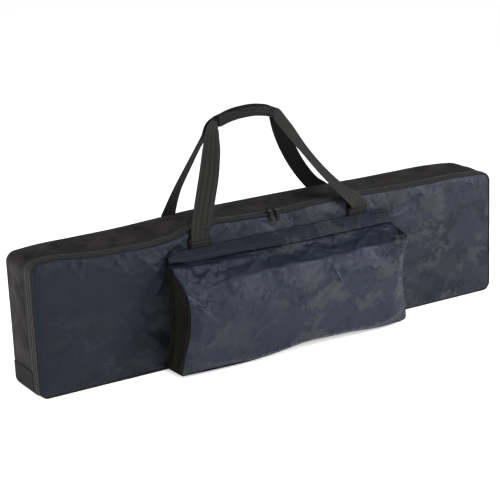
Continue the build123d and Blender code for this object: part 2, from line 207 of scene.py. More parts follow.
def lifted(x, y, z):
    """Points of the walls, raised with the bag."""
    return stack(x, y, z + lift(x, y, z))


# ---- meshes
def grid(*axes):
    """Every combination of the values along each axis, as arrays that match."""
    return np.meshgrid(*axes, indexing="ij")


def stack(*xyz):
    """Points from their three coordinates."""
    return np.stack(np.broadcast_arrays(*xyz), axis=-1)


def run_length(points):
    """Running length along a line of points."""
    steps = np.linalg.norm(np.diff(points, axis=0), axis=1)
    return np.concatenate([[0], np.cumsum(steps)])


def normals(points):
    """Unit normals of a grid of points, along the cross of its two directions."""
    n = np.cross(np.gradient(points, axis=0), np.gradient(points, axis=1))
    return n / maximum(np.linalg.norm(n, axis=2, keepdims=True), 1e-12)


def spacing(points, axis, wrap=False):
    """Running length along one direction of a grid, measured down its middle."""
    line = np.take(points, points.shape[1 - axis] // 2, axis=1 - axis)
    return run_length(np.vstack([line, line[:1]]) if wrap else line)


def add_mesh(name, verts, faces, uvs=None, shade=True):
    """Mesh object in the scene."""
    mesh = bpy.data.meshes.new(name)
    mesh.from_pydata(np.asarray(verts).reshape(-1, 3).tolist(), [], faces)
    if uvs is not None:
        layer = mesh.uv_layers.new(name="UVMap")
        layer.data.foreach_set("uv", np.asarray(uvs, np.float32).ravel())
    mesh.polygons.foreach_set("use_smooth", [shade] * len(mesh.polygons))
    mesh.update()
    obj = bpy.data.objects.new(name, mesh)
    bpy.context.collection.objects.link(obj)
    return obj


def quads(index, rows_wrap=False, cols_wrap=False):
    """Faces of a grid of vertex numbers, as an array of four columns."""
    n, m = index.shape
    i = np.arange(n if rows_wrap else n - 1)
    j = np.arange(m if cols_wrap else m - 1)
    i1, j1 = (i + 1) % n, (j + 1) % m
    corners = [index[np.ix_(*at)] for at in ((i, j), (i1, j), (i1, j1), (i, j1))]
    return np.stack(corners, axis=-1).reshape(-1, 4)


def quad_uvs(u, v, rows, cols):
    """UVs of those faces, in metres along and across."""
    i, j = grid(np.arange(rows), np.arange(cols))
    corners = [(i, j), (i + 1, j), (i + 1, j + 1), (i, j + 1)]
    return np.stack([stack(u[a], v[b]) for a, b in corners], axis=2).reshape(-1, 2)


def tube(name, points, closed_run=False, shade=True):
    """Skin over rings of points, with capped ends unless its run is closed."""
    n, m = points.shape[:2]
    index = np.arange(n * m).reshape(n, m)
    u, v = spacing(points, 0, closed_run), spacing(points, 1, True)
    faces = quads(index, closed_run, True).tolist()
    uvs = quad_uvs(u, v, n if closed_run else n - 1, m)
    if not closed_run:
        faces += [index[0][::-1].tolist(), index[-1].tolist()]
        uvs = np.vstack([uvs] + [stack(np.full(m, u[ring]), v[:m]) for ring in (0, n - 1)])
    return add_mesh(name, points, faces, uvs, shade)


def solid_sheet(name, outer, inner):
    """Closed body between two matching grids; outer's own normal points away from inner."""
    n, m = outer.shape[:2]
    index = np.arange(n * m).reshape(n, m)
    under = index + n * m
    grid_uv = quad_uvs(spacing(outer, 0), spacing(outer, 1), n - 1, m - 1)
    faces = [quads(index), quads(under)[:, ::-1]]
    for top, low, turn in ((index[0], under[0], 1), (index[-1], under[-1], -1),
                           (index[:, 0], under[:, 0], -1), (index[:, -1], under[:, -1], 1)):
        rim = np.stack([top[:-1], low[:-1], low[1:], top[1:]], axis=-1)
        faces.append(rim[:, ::turn])
    rims = np.zeros((8 * (n + m - 2), 2))
    uvs = [grid_uv, grid_uv.reshape(-1, 4, 2)[:, ::-1].reshape(-1, 2), rims]
    both = np.concatenate([outer.reshape(-1, 3), inner.reshape(-1, 3)])
    return add_mesh(name, both, np.concatenate(faces).tolist(), np.concatenate(uvs))


def cloth_sheet(name, points, thick):
    """Sheet of cloth of the given thickness, whose outer side is the grid."""
    return solid_sheet(name, points, points - normals(points) * thick)


def rounded_grid(inset, step):
    """Grid over a wall of the bag: (x, z) of a rectangle whose corners are round."""
    half, low, high, radius = HALF - inset, inset, TOP - inset, CORNER - inset
    x, z = grid(linspace(-half, half, int(round(2 * half / step))),
                linspace(low, high, int(round((high - low) / step))))
    core_x, core_lo, core_hi = half - radius, low + radius, high - radius
    a = clip((abs(x) - core_x) / radius, 0, 1)
    b = clip(maximum(z - core_hi, core_lo - z) / radius, 0, 1)
    round_a, round_b = a * np.sqrt(1 - b * b / 2), b * np.sqrt(1 - a * a / 2)
    x = np.where(a > 0, np.sign(x) * (core_x + radius * round_a), x)
    z = np.where((b > 0) & (z > core_hi), core_hi + radius * round_b, z)
    z = np.where((b > 0) & (z < core_lo), core_lo - radius * round_b, z)
    return x, z


def edge_distance(x, z, inset):
    """Distance in from the edge of a wall's outline."""
    half, low, high, radius = HALF - inset, inset, TOP - inset, CORNER - inset
    qx = abs(x) - (half - radius)
    qz = abs(z - (low + high) / 2) - ((high - low) / 2 - radius)
    outside = np.hypot(maximum(qx, 0), maximum(qz, 0))
    return radius - outside - minimum(maximum(qx, qz), 0)


def wall_path(closed, step=4 * MM, turn=10):
    """Path round the bag's side outline, as core points and outward normals in (x, z).

    Open, it runs up the left end, over the top and down the right; closed, it takes in the bottom.
    """
    cx, lo, hi = HALF - CORNER, CORNER, TOP - CORNER
    parts = []

    def arc(centre, start):
        for angle in linspace(math.radians(start), math.radians(start - 90), turn, endpoint=False):
            parts.append((*centre, math.cos(angle), math.sin(angle)))

    def run(a, b, normal):
        count = int(math.dist(a, b) / step)
        for t in np.arange(count) / count:
            parts.append((a[0] + (b[0] - a[0]) * t, a[1] + (b[1] - a[1]) * t, *normal))

    corners = ((-cx, lo), (-cx, hi), (cx, hi), (cx, lo))
    for k, normal in enumerate(((-1, 0), (0, 1), (1, 0))):
        arc(corners[k], 270 - 90 * k)
        run(corners[k], corners[k + 1], normal)
    arc(corners[3], 0)
    if closed:
        run(corners[3], corners[0], (0, -1))
    else:
        parts.append((cx, lo, 0, -1))
    path = np.array(parts, float)
    return path[:, :2], path[:, 2:]


def along_walls(core, normal, y, inset):
    """Points at depth y and inset below the outline, for each place on the path, lifted with the bag."""
    reach = CORNER - inset
    x = core[:, :1] + normal[:, :1] * reach
    z = core[:, 1:] + normal[:, 1:] * reach
    return lifted(x, y, z)


def bead(name, y):
    """Piping: a covered cord round the outline, with a seam-pulled waver."""
    core, normal = wall_path(True)
    angle = linspace(0, 2 * math.pi, 12, endpoint=False)[None, :]
    run = run_length(core + normal * CORNER)
    waver = 0.25 * MM * noise(run, run * 0, 0.03, 7, 3)[:, None]
    radius = PIPING_R + 0.12 * MM * noise(run, run * 0 + 1, 0.012, 8, 3)[:, None]
    depth = y + waver + radius * np.cos(angle) * (1 if y < 0 else -1)
    return tube(name, along_walls(core, normal, depth, PIPING_R + radius * np.sin(angle)), True)


def rounded_loop(points, shares=(0, 0.25, 0.5, 0.75)):
    """Closed smooth loop through listed (y, z) points in millimetres, with a point at each share."""
    loop = np.array(points, float) * MM
    closed = np.vstack([loop[-1:], loop, loop[:2]])
    return np.array([spline(*closed[k:k + 4], f) for k in range(len(loop)) for f in shares])


def ribbon_frames(stations, count):
    """Centre line and width direction through listed stations (x, y, z, lean, twist, width)."""
    table = np.array(stations, float)
    last = len(table) - 1
    t = linspace(0, last, count)
    i = clip(t.astype(int), 0, last - 1)
    value = spline(table[maximum(i - 1, 0)], table[i], table[i + 1], table[minimum(i + 2, last)],
                   (t - i)[:, None])
    centre = value[:, :3] * MM
    along = np.gradient(centre, axis=0)
    along /= np.linalg.norm(along, axis=1, keepdims=True)
    lean, twist = np.radians(value[:, 3:4]), np.radians(value[:, 4:5])
    across = np.concatenate([np.cos(lean), 0 * lean, -np.sin(lean)], axis=1)
    across = (across * np.cos(twist) + np.cross(along, across) * np.sin(twist)
              + along * (along * across).sum(1, keepdims=True) * (1 - np.cos(twist)))
    across -= along * (along * across).sum(1, keepdims=True)
    across /= np.linalg.norm(across, axis=1, keepdims=True)
    return centre, across, np.cross(along, across), value[:, 5] * MM


# ---- materials
def rgba(colour):
    """Colour of a socket, from one grey level or from three levels."""
    return (*(colour if isinstance(colour, tuple) else (colour,) * 3), 1.0)


class Material:
    """Principled material whose constants are set on its own sockets, with short calls for its nodes."""

    def __init__(self, name, roughness=0.6, specular=0.3, sheen=0.0):
        self.made = bpy.data.materials.new(name)
        self.made.use_nodes = True
        self.tree = self.made.node_tree
        self.shader = self.tree.nodes["Principled BSDF"]
        self.put(self.shader, {"Roughness": roughness, "Specular IOR Level": specular,
                               "Sheen Weight": sheen, "Sheen Roughness": 0.5, "Metallic": 0.0})
        self.where = self.node("TexCoord", {}, "Object")

    def put(self, node, values):
        """Link or set each socket of a node."""
        for socket, value in values.items():
            if isinstance(value, bpy.types.NodeSocket):
                self.tree.links.new(value, node.inputs[socket])
            else:
                node.inputs[socket].default_value = value

    def node(self, kind, values, out=0, **settings):
        """New node with its settings and sockets; it gives one of its outputs."""
        made = self.tree.nodes.new("ShaderNode" + kind)
        for key, value in settings.items():
            setattr(made, key, value)
        self.put(made, values)
        return made.outputs[out]

    def add(self, a, b):
        return self.node("Math", {0: a, 1: b}, operation="ADD")

    def times(self, a, b):
        return self.node("Math", {0: a, 1: b}, operation="MULTIPLY")

    def noise(self, scale, detail=3.0, rough=0.5, distortion=0.0, where=None):
        return self.node("TexNoise", {"Vector": where or self.where, "Scale": scale, "Detail": detail,
                                      "Roughness": rough, "Distortion": distortion}, "Fac")

    def cells(self, scale, out="Distance"):
        return self.node("TexVoronoi", {"Vector": self.where, "Scale": scale}, out)

    def waves(self, vector, scale, direction, **more):
        values = {"Vector": vector, "Scale": scale, **{k.replace("_", " "): v for k, v in more.items()}}
        return self.node("TexWave", values, "Fac", bands_direction=direction)

    def weave(self, per_metre, first="X"):
        """Height of a woven surface: two sets of threads crossing."""
        return self.times(*(self.waves(self.where, per_metre, direction, Distortion=0.6, Detail=1.0,
                                       Detail_Scale=2.0) for direction in (first, "Z")))

    def ramp(self, fac, *stops):
        """Colour ramp through two (position, colour) stops."""
        made = self.node("ValToRGB", {"Fac": fac})
        for element, (position, colour) in zip(made.node.color_ramp.elements, stops):
            element.position = position
            element.color = rgba(colour)
        return made

    def mix(self, fac, a, b, kind="MIX"):
        """Blend of two colours."""
        return self.node("Mix", {0: fac, 6: a, 7: b}, 2, data_type="RGBA", blend_type=kind)

    def finish(self, colour, height, strength, distance):
        """Link the colour and the bump; it gives Blender's own material."""
        bump = self.node("Bump", {"Height": height, "Strength": strength, "Distance": distance})
        self.put(self.shader, {"Base Color": colour, "Normal": bump})
        return self.made


def camo_material(name, shade, gloss, spread, patch_tone):
    """Navy jacquard: satin cloth with torn, leafy patches woven dull and greyer, laid along the bag. The
    shade argument scales its colour into lit and shaded copies of one cloth, and the cloth darkens towards
    the bag's left end: painted light and painted shade.
    """
    mat = Material(name, specular=gloss)
    mat.put(mat.shader, {"Specular Tint": rgba((0.75, 0.78, 1.0))})
    twigs = mat.noise(95.0, 2.0, 0.6)
    pull = mat.node("VectorMath", {0: mat.cells(85.0, "Color"), 1: (0.5, 0.5, 0.5)}, operation="SUBTRACT")
    pull = mat.node("VectorMath", {0: pull, "Scale": 0.016}, operation="SCALE")
    leafy = mat.node("VectorMath", {0: mat.where, 1: pull}, operation="ADD")
    laid = mat.node("Mapping", {"Vector": leafy, "Rotation": (0.0, -0.12, 0.0), "Scale": (0.52, 0.8, 1.0)})
    shifted = mat.node("Mapping", {"Vector": laid, "Location": (3.1, 7.7, 1.9)})
    patch = mat.add(mat.noise(23.0, 1.8, 0.45, 0.5, laid), mat.times(twigs, 0.16))
    second = mat.add(mat.noise(19.0, 2.0, 0.5, 0.6, shifted), mat.times(twigs, 0.20))
    place = mat.node("SeparateXYZ", {0: mat.where})
    # Patches cluster at random, and thin out towards the bag's left end (object x): that thinning is painted
    # shade.
    cluster = mat.add(mat.add(mat.noise(4.5, 1.0, 0.5, where=shifted), spread), mat.times(place, 0.45))
    strong = mat.ramp(cluster, (0.40, 0.05), (0.66, 1))
    grey = mat.times(mat.ramp(patch, (0.645, 0), (0.655, 1)), strong)
    deep = mat.times(mat.ramp(second, (0.635, 0), (0.65, 1)), strong)
    tone = patch_tone / shade
    base = mat.mix(deep, rgba((0.0070, 0.0087, 0.0150)), rgba((0.0038, 0.0048, 0.0085)))
    base = mat.mix(grey, base, rgba((tone, 1.02 * tone, 1.13 * tone)))
    speckle = mat.ramp(mat.noise(500.0), (0.3, 0.55), (0.7, 1))
    # Random mottle of tone, times shade: that scale is painted light on the pocket's copy and painted shade
    # on the wall's and flap's copies.
    uneven_tone_and_painted_light = mat.ramp(mat.noise(13.0, 3.0, 0.6), (0.36, (0.80 * shade, 0.84 * shade, 0.82 * shade)),
                      (0.62, shade))
    # Painted shade: the colour darkens towards the bag's left end (object x).
    painted_left_shade = mat.ramp(mat.add(mat.times(place, 0.7), 0.5), (0.02, (0.70, 0.71, 0.70)), (0.50, 1))
    for share, layer in ((0.4, speckle), (1.0, uneven_tone_and_painted_light), (1.0, painted_left_shade)):
        base = mat.mix(share, base, layer, "MULTIPLY")
    shine = mat.add(mat.add(0.38, mat.times(grey, 0.08)), mat.times(deep, 0.14))
    mat.put(mat.shader, {"Roughness": shine})
    height = mat.add(mat.times(mat.weave(420.0, "DIAGONAL"), 0.5),
                     mat.times(mat.noise(45.0, 3.0, 0.5, 0.8), 2.2))
    return mat.finish(base, mat.add(height, mat.times(grey, 0.3)), 0.4, 0.0007)


def woven(name, dark, light, per_metre, roughness=0.75, specular=0.12, mottle=60.0):
    """Plain woven cloth in two close shades of one colour."""
    mat = Material(name, roughness, specular)
    shade = mat.ramp(mat.noise(mottle, 4.0, 0.6), (0.32, dark), (0.68, light))
    return mat.finish(shade, mat.weave(per_metre), 0.4, 0.0004)


def webbing_material(name, dark, light):
    """Ribbed webbing, woven in chevrons across its ribs."""
    mat = Material(name, 0.75, 0.11)
    uv = mat.node("TexCoord", {}, "UV")
    ribs = mat.waves(uv, 50.0, "Y", Distortion=0.15)
    picks = mat.waves(uv, 190.0, "X", Distortion=1.2, Detail=2.0)
    shade = mat.times(mat.add(ribs, mat.noise(34.0, 5.0, 0.65)), 0.5)
    height = mat.add(mat.times(ribs, 0.8), mat.times(picks, 0.35))
    return mat.finish(mat.ramp(shade, (0.25, dark), (0.85, light)), height, 0.35, 0.0004)


def moulded(name, colour, wear_and_glint_colour, roughness, specular):
    """Moulded or cast surface: fine grain, with lighter patches of wear, which on the zip metal also stand
    for painted highlights.
    """
    mat = Material(name, roughness, specular)
    wear_and_glint_mask = mat.ramp(mat.noise(130.0, 5.0, 0.7), (0.52, 0), (0.75, 1))
    return mat.finish(mat.mix(wear_and_glint_mask, rgba(colour), rgba(wear_and_glint_colour)), mat.noise(900.0), 0.15, 0.0003)


def pile_material():
    """Hook-and-loop strip: short dense pile."""
    mat = Material("hook_and_loop", 0.85, 0.15, 0.4)
    cells = mat.cells(1300.0)
    shade = mat.ramp(cells, (0.0, (0.035, 0.035, 0.036)), (0.7, (0.010, 0.010, 0.011)))
    return mat.finish(shade, cells, 0.8, 0.0006)


def floor_material():
    """Plain pale floor."""
    mat = Material("studio_floor", 0.9, 0.0)
    tone = mat.ramp(mat.noise(0.7, 1.0), (0.2, 0.90), (0.8, 0.93))
    mat.put(mat.shader, {"Base Color": tone, "Emission Color": (1, 1, 1, 1), "Emission Strength": 0.52})
    return mat.made


# Lit and shaded copies of one camo cloth: shade makes the pocket's copy lighter (painted light) and the
# flap's copy darker (painted shade).
CAMO = camo_material("camo_fabric", 0.90, 0.195, 0.07, 0.0195)
CAMO_POCKET_PAINTED_LIGHT = camo_material("camo_pocket_painted_light", 1.36, 0.22, 0.12, 0.025)
CAMO_FLAP_PAINTED_SHADE = camo_material("camo_flap_painted_shade", 0.80, 0.10, 0.10, 0.019)
GUSSET = woven("gusset_fabric", (0.0050, 0.0044, 0.0045), (0.0185, 0.0162, 0.0167), 380.0, 0.75, 0.08, 22.0)
SIDE = woven("pocket_side_fabric", (0.0030, 0.0028, 0.0021), (0.0064, 0.0060, 0.0047), 380.0, 0.75, 0.08)
# Piping: its own black cloth, made darker still to paint the shade in the seam groove beside it.
PIPING_WITH_PAINTED_SHADE = woven("piping", (0.003, 0.003, 0.0035), (0.006, 0.006, 0.007), 500.0, 0.65, 0.15)
EDGING = woven("zip_edging", (0.015, 0.015, 0.0145), (0.026, 0.026, 0.025), 500.0, 0.7, 0.15)
TAPE = woven("zip_tape", 0.0030, 0.006, 700.0)
BINDING = woven("binding", (0.006, 0.006, 0.0065), (0.011, 0.011, 0.012), 600.0)
# Tab cloth, darker than the gusset's, to paint the shadow under the strap's foot.
TAB_PAINTED_SHADE = woven("strap_tab", (0.0030, 0.0030, 0.0026), (0.0065, 0.0063, 0.0055), 600.0, 0.8, 0.08)
LINING = woven("lining", (0.030, 0.031, 0.034), (0.045, 0.046, 0.050), 500.0, 0.55, 0.3)
GRIP = woven("grip_cover", (0.0036, 0.0036, 0.0034), (0.0076, 0.0076, 0.0073), 420.0, 0.7, 0.10)
THREAD = woven("thread", (0.035, 0.035, 0.037), (0.06, 0.06, 0.062), 1500.0, 0.6, 0.2)
WEBBING = webbing_material("webbing", (0.0086, 0.0086, 0.0082), (0.0150, 0.0150, 0.0141))
# Darker copy of the webbing, for the strap's inner faces: painted shade.
WEBBING_PAINTED_SHADE = webbing_material("webbing_painted_shade", (0.0022, 0.0022, 0.0020), (0.0050, 0.0050, 0.0046))
COIL = moulded("zip_coil", (0.018, 0.018, 0.017), (0.040, 0.040, 0.038), 0.42, 0.4)
# Zip metal: near-black, with lighter patches that paint highlights on it.
METAL = moulded("zip_metal", 0.0018, (0.016, 0.0155, 0.015), 0.30, 0.14)
RUBBER = moulded("guard_rubber", (0.0062, 0.0057, 0.0055), (0.016, 0.0145, 0.014), 0.7, 0.12)
PILE = pile_material()


def finish(obj, body, slot, material, replaced=(), also=()):
    """Material, slot (not used), the CAD nodes a piece stands for, and the body it rides on."""
    obj.data.materials.clear()
    for mat in (material, *also):
        obj.data.materials.append(mat)
    if replaced:
        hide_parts(*replaced)
    if body:
        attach(obj, body)
    return obj


def capped_faces(count, rings, sides, flip=False):
    """Faces of a row of small capped bodies, each made of rings of vertices."""
    index = np.arange(rings * sides).reshape(rings, sides)
    one = quads(index, False, True).tolist() + [index[0].tolist(), index[-1][::-1].tolist()]
    turn = -1 if flip else 1
    return [[corner + rings * sides * k for corner in face[::turn]] for k in range(count) for face in one]


def stitches(name, lines, body, slot):
    """Rows of thread stitches. Each line is (points, normal): stitches lie along it, raised on the normal."""
    length, gap, thick, sides = 3.0 * MM, 1.3 * MM, 0.35 * MM, 5
    shape = ((-1, 0.0), (-0.7, 1.0), (0.7, 1.0), (1, 0.0))
    angle = linspace(0, 2 * math.pi, sides, endpoint=False)[:, None]
    rings = []
    for points, up in lines:
        points = np.array(points, float)
        run = run_length(points)
        count = max(1, int(run[-1] / (length + gap)))
        for k in range(count):
            middle = (k + 0.5) * run[-1] / count
            start, end = (np.array([np.interp(middle + way * length / 2, run, line) for line in points.T])
                          for way in (-1, 1))
            along = end - start
            size = np.linalg.norm(along)
            along /= size
            upward = np.array(up, float) - along * np.dot(up, along)
            upward /= np.linalg.norm(upward)
            circle = np.cross(along, upward) * np.cos(angle) + upward * np.sin(angle)
            for t, r in shape:
                centre = (start + end) / 2 + along * t * size / 2 + upward * (thick * 0.6 * r)
                rings.append(centre + circle * thick * (0.35 + 0.65 * r))
    faces = capped_faces(len(rings) // len(shape), len(shape), sides)
    return finish(add_mesh(name, rings, faces), body, slot, THREAD)


# ---- front and back walls
def crown(d, height, reach):
    """Swell of a foam wall at a distance from its edge, less the pull of the piping's seam."""
    pull, seam = 1.6 * MM, 5 * MM
    return height * (1 - exp(-maximum(d, 0) / reach)) - pull * exp(-d / seam)


def front_wall():
    """Foam-filled front wall: crowned, pulled in at its piped edge, and folded by the pocket's drag."""
    x, z = rounded_grid(PANEL_INSET, 3.2 * MM)
    d = edge_distance(x, z, PANEL_INSET)
    under_pocket = smooth((POCKET_HALF + 0.004 - abs(x)) / 0.012) * smooth((0.302 - z) / 0.006)
    behind_tab = at_handles(x, TAB_HALF, 0.004) * smooth((TAB_TOP - z) / 0.006)
    free = (1 - under_pocket) * (1 - behind_tab)
    upper_strip = smooth((POCKET_HALF - abs(x)) / 0.03)
    swell = crown(d, (4.2 - 2.2 * upper_strip) * MM, 28 * MM)
    slow = 1.3 * MM * noise(x, z, 0.11, 3) + 0.45 * MM * noise(x, z, 0.035, 4)
    folds = 1.5 * creases(x, z, FRONT_FOLDS)
    left_fan = smooth((-0.245 - x) / 0.03) * smooth((x + 0.47) / 0.10) * smooth((z - 0.20) / 0.08)
    right_fan = smooth((x - 0.24) / 0.04) * smooth((0.56 - x) / 0.18) * smooth((z - 0.15) / 0.10)
    strip = upper_strip * smooth((z - 0.28) / 0.02)
    left_top = 0.55 * smooth((-0.30 - x) / 0.08) * smooth((z - 0.24) / 0.07)
    left_low = 0.50 * smooth((-0.36 - x) / 0.06) * smooth((0.15 - z) / 0.09) * smooth((x + 0.60) / 0.1)
    worked = clip(0.12 + left_fan + left_top + left_low + 0.9 * right_fan + 0.8 * strip
                  + 0.25 * smooth(x / 0.3), 0, 1)
    folds = folds + worked * (2.0 * MM * crumple(x, z, 0.030, 301, thin=0.16)
                              - 1.5 * MM * crumple(x, z, 0.036, 302, -0.5))
    y = FRONT_Y - swell - free * smooth(d / SEAM_MARGIN) * (slow + folds)
    outer = lifted(x, y, z)
    inner = stack(x, FOAM_BACK_Y - CLEAR, z + lift(x, y, z))
    obj = solid_sheet("front_cover", outer, inner)
    return finish(obj, "lid", "camo_fabric", CAMO, ("front_panel", "front_foam"))


def facet_lines():
    """Folds of the front wall: beside the left handle, round the pocket's ends, and at the edges."""
    lines = [
        # fan that runs up to the piping's step left of the left handle
        (-352, 300, -290, 338, 5, 3.4, 0), (-338, 272, -276, 332, 5, -3.4, 2),
        (-345, 262, -398, 318, 7, 2.6, 3), (-300, 303, -268, 338, 4, 3.2, -2),
        (-322, 296, -330, 330, 5, -2.4, 0), (-338, 292, -420, 330, 8, 1.6, 5),
        (-285, 305, -292, 334, 4, 2.2, 0), (-340, 255, -375, 205, 9, 1.8, 4),
        # faint long folds of the left end
        (-640, 300, -560, 322, 10, 1.2, 4), (-520, 318, -430, 270, 10, 1.5, 6),
        (-470, 325, -440, 285, 7, 1.6, 2), (-450, 200, -390, 130, 12, 1.3, 6),
        (-420, 120, -350, 60, 10, 1.5, 4), (-600, 60, -500, 32, 10, 1.3, 3),
        (-640, 110, -560, 70, 14, 1.1, 4), (-480, 60, -380, 36, 9, 1.6, 3),
        (-655, 220, -600, 160, 16, 0.9, 5),
        # right end: folds from the pocket's top corner and from the far corner
        (338, 285, 400, 322, 6, 3.2, 2), (336, 268, 410, 285, 7, 2.8, -3),
        (338, 292, 372, 336, 4, -2.6, 0), (345, 240, 450, 250, 10, 1.8, 6),
        (352, 222, 420, 190, 8, 2.0, 5), (400, 210, 520, 160, 12, 1.6, 8), (480, 300, 560, 322, 9, 1.7, 4),
        (560, 260, 650, 300, 12, 1.5, 6), (520, 200, 560, 120, 14, 1.4, 6), (360, 110, 440, 60, 9, 2.0, 4),
        (350, 70, 420, 40, 7, 2.2, 3), (600, 330, 660, 300, 7, 2.0, 3), (470, 90, 540, 50, 12, 1.3, 4),
        (350, 180, 356, 60, 7, 2.0, 0), (440, 330, 470, 296, 5, 1.8, 2),
        # strip between the storm flap and the piping
        (-205, 302, -150, 338, 5, 2.0, 2), (-120, 305, -95, 338, 4, 1.8, 1),
        (-60, 330, -10, 304, 5, -1.6, 2), (40, 303, 60, 336, 4, 1.8, 1), (110, 330, 170, 306, 6, 1.8, 2),
        (280, 304, 320, 332, 5, 2.4, 1), (275, 334, 300, 306, 4, -2.0, 0),
        (150, 304, 190, 330, 5, 1.6, -2),
    ]
    lines += puckers((-650, -270), 337, -1, 1.6, 11)
    lines += puckers((-200, 200), 337, -1, 1.2, 12)
    lines += puckers((275, 660), 337, -1, 1.7, 13)
    lines += puckers((-650, -350), 9, 1, 1.2, 14)
    lines += puckers((350, 650), 9, 1, 1.4, 15)
    return lines


FRONT_FOLDS = facet_lines()


def back_wall():
    """Foam-filled back wall."""
    x, z = rounded_grid(PANEL_INSET, 5 * MM)
    d = edge_distance(x, z, PANEL_INSET)
    behind_tab = at_handles(x, TAB_HALF, 0.004)
    behind_tab = behind_tab * smooth((TAB_TOP - z) / 0.006) * smooth((z - 0.29) / 0.006)
    slow = 1.6 * MM * noise(x, z, 0.14, 21) + 0.4 * MM * noise(x, z, 0.04, 22)
    lines = puckers((-650, 650), 337, -1, 1.6, 23, gap=(20, 52))
    lines += puckers((-650, 650), 9, 1, 1.3, 24, gap=(24, 60))
    lines += [(-237, 300, -330, 215, 10, 1.8, 5), (-237, 300, -160, 210, 11, 1.7, -5),
              (237, 300, 320, 205, 10, 1.8, -5), (237, 300, 170, 220, 11, 1.6, 4),
              (-560, 120, -420, 60, 16, 1.3, 6), (380, 60, 560, 110, 18, 1.3, 8),
              (-120, 140, 90, 120, 20, 1.2, 10), (430, 300, 540, 330, 9, 1.6, 3),
              (-640, 290, -560, 230, 14, 1.2, 5)]
    folds = smooth(d / SEAM_MARGIN) * (1 - behind_tab) * (slow + creases(x, z, lines))
    y = BACK_Y + crown(d, 4.5 * MM, 32 * MM) + folds
    outer = lifted(x, y, z)[::-1]
    inner = stack(x, box("back_foam")[0].y + CLEAR, z + lift(x, y, z))[::-1]
    obj = solid_sheet("back_cover", outer, inner)
    return finish(obj, "shell", "camo_fabric", CAMO, ("back_panel", "back_foam"))


# ---- gusset, zip and piping
def gusset_folds(run, y):
    """Folds across and along the gusset; the run starts at the lower left corner."""
    ends = [(120, -30, 190, 45, 12, 1.4, 6), (220, -35, 290, 40, 12, 1.3, -5), (300, -35, 350, 40, 8, 1.6, 4),
            (1760, -30, 1850, 40, 12, 1.4, 6), (1880, -35, 1940, 45, 10, 1.4, -5)]
    # measured from the upper left corner
    top = [(20, -35, 110, 50, 7, 2.2, 6), (60, -38, 190, 40, 8, 2.0, 8), (30, -38, 60, 55, 6, 1.8, -4),
           (150, -36, 300, 20, 9, 1.8, 8), (260, -30, 400, 45, 10, 1.6, 6), (380, -38, 440, 30, 6, 1.9, 3),
           (560, -35, 700, 30, 9, 1.6, 6), (700, -20, 860, 45, 12, 1.5, 8), (860, -36, 960, 20, 8, 1.8, 5),
           (980, -36, 1120, 45, 11, 1.7, 8), (1150, -30, 1250, 50, 8, 2.0, 6),
           (1230, -30, 1320, 40, 7, 2.0, 5)]
    top_left = 373.0
    lines = [(u0 + top_left, v0, u1 + top_left, *rest) for u0, v0, u1, *rest in top] + ends
    lines += puckers((120, 1960), -43, 1, 1.1, 31, gap=(18, 46), length=(9, 24))
    lines += puckers((120, 1960), 65, -1, 1.1, 32, gap=(20, 50), length=(9, 24))
    return creases(run, y, lines)


def gusset_wall():
    """Padded gusset that runs up both ends and over the top, with its foam."""
    core, normal = wall_path(False, 4 * MM, 12)
    run = run_length(core + normal * CORNER)[:, None]
    seam_y = FACING_Y + 3 * MM
    y = np.concatenate([linspace(GUSSET_Y[0], seam_y, 18)[:-1], linspace(seam_y, GUSSET_Y[1], 32)])[None, :]
    t = (y - GUSSET_Y[0]) / (GUSSET_Y[1] - GUSSET_Y[0])
    edge = inside(t, 0.09)
    x, z = core[:, :1] + normal[:, :1] * CORNER, core[:, 1:] + normal[:, 1:] * CORNER
    above_guard = smooth((z - 0.066) / 0.03)
    round_end = smooth((HALF - 0.02 - abs(x)) / 0.05)
    bulge = (2.2 + 2.0 * round_end) * MM * 4 * t * (1 - t)
    u, v = np.broadcast_arrays(run, y)
    waves = 1.2 * MM * noise(u, v, 0.07, 33) + 1.5 * gusset_folds(u, v)
    waves = waves + 1.6 * MM * crumple(u, v, 0.05, 331, 0.5) - 1.4 * MM * crumple(u, v, 0.06, 332, 0.25)
    near_web = smooth((abs(abs(x) - HANDLE_X) - 0.03) / 0.02)
    out = bulge + edge * waves * (0.5 + 0.5 * near_web) - 0.7 * MM * (1 - edge)
    out = above_guard * out - 0.25 * MM * (1 - above_guard)
    on_facing = 1 - smooth((y - FACING_Y + 2 * MM) / (2 * MM))
    out = out * (1 - 0.8 * on_facing) - 0.9 * MM * hump(y, FACING_Y, 1.1 * MM) * above_guard
    outer = along_walls(core, normal, y, -out)
    inner_y = np.array([GUSSET_Y[1], 60.3 * MM, 20 * MM, -20 * MM, GUSSET_Y[0]])
    inner = along_walls(core, normal, inner_y, np.array([3 * MM] + [PAD_INSET - 2 * CLEAR] * 4))
    obj = tube("gusset_cover", np.concatenate([outer, inner], axis=1)[:, ::-1])
    finish(obj, "shell", "gusset_fabric", GUSSET, ("gusset", "top_foam", "left_end_foam", "right_end_foam"),
           (BINDING,))
    for face in obj.data.polygons:
        face.material_index = int(len(face.vertices) == 4 and face.center.y < FACING_Y)


def bottom_wall():
    """Foam-filled bottom, slightly lifted along its middle."""
    low, high = box("bottom_gusset")
    foam_low, foam_high = box("bottom_foam")
    x, y = grid(linspace(-high.x, high.x, 220), linspace(low.y, high.y, 30))
    t = (y - low.y) / (high.y - low.y)
    z = 0.2 * MM + 1.2 * MM * abs(noise(x, y, 0.09, 41)) * inside(t, 0.1)
    flat = y < foam_low.y
    top = stack(x, np.where(flat, y, clip(y, foam_low.y, foam_high.y)),
                np.where(flat, 1.6 * MM, foam_high.z - 2 * CLEAR))
    obj = solid_sheet("bottom_cover", stack(x, y, z)[:, ::-1], top[:, ::-1])
    return finish(obj, "shell", "gusset_fabric", GUSSET, ("bottom_gusset", "bottom_foam"))


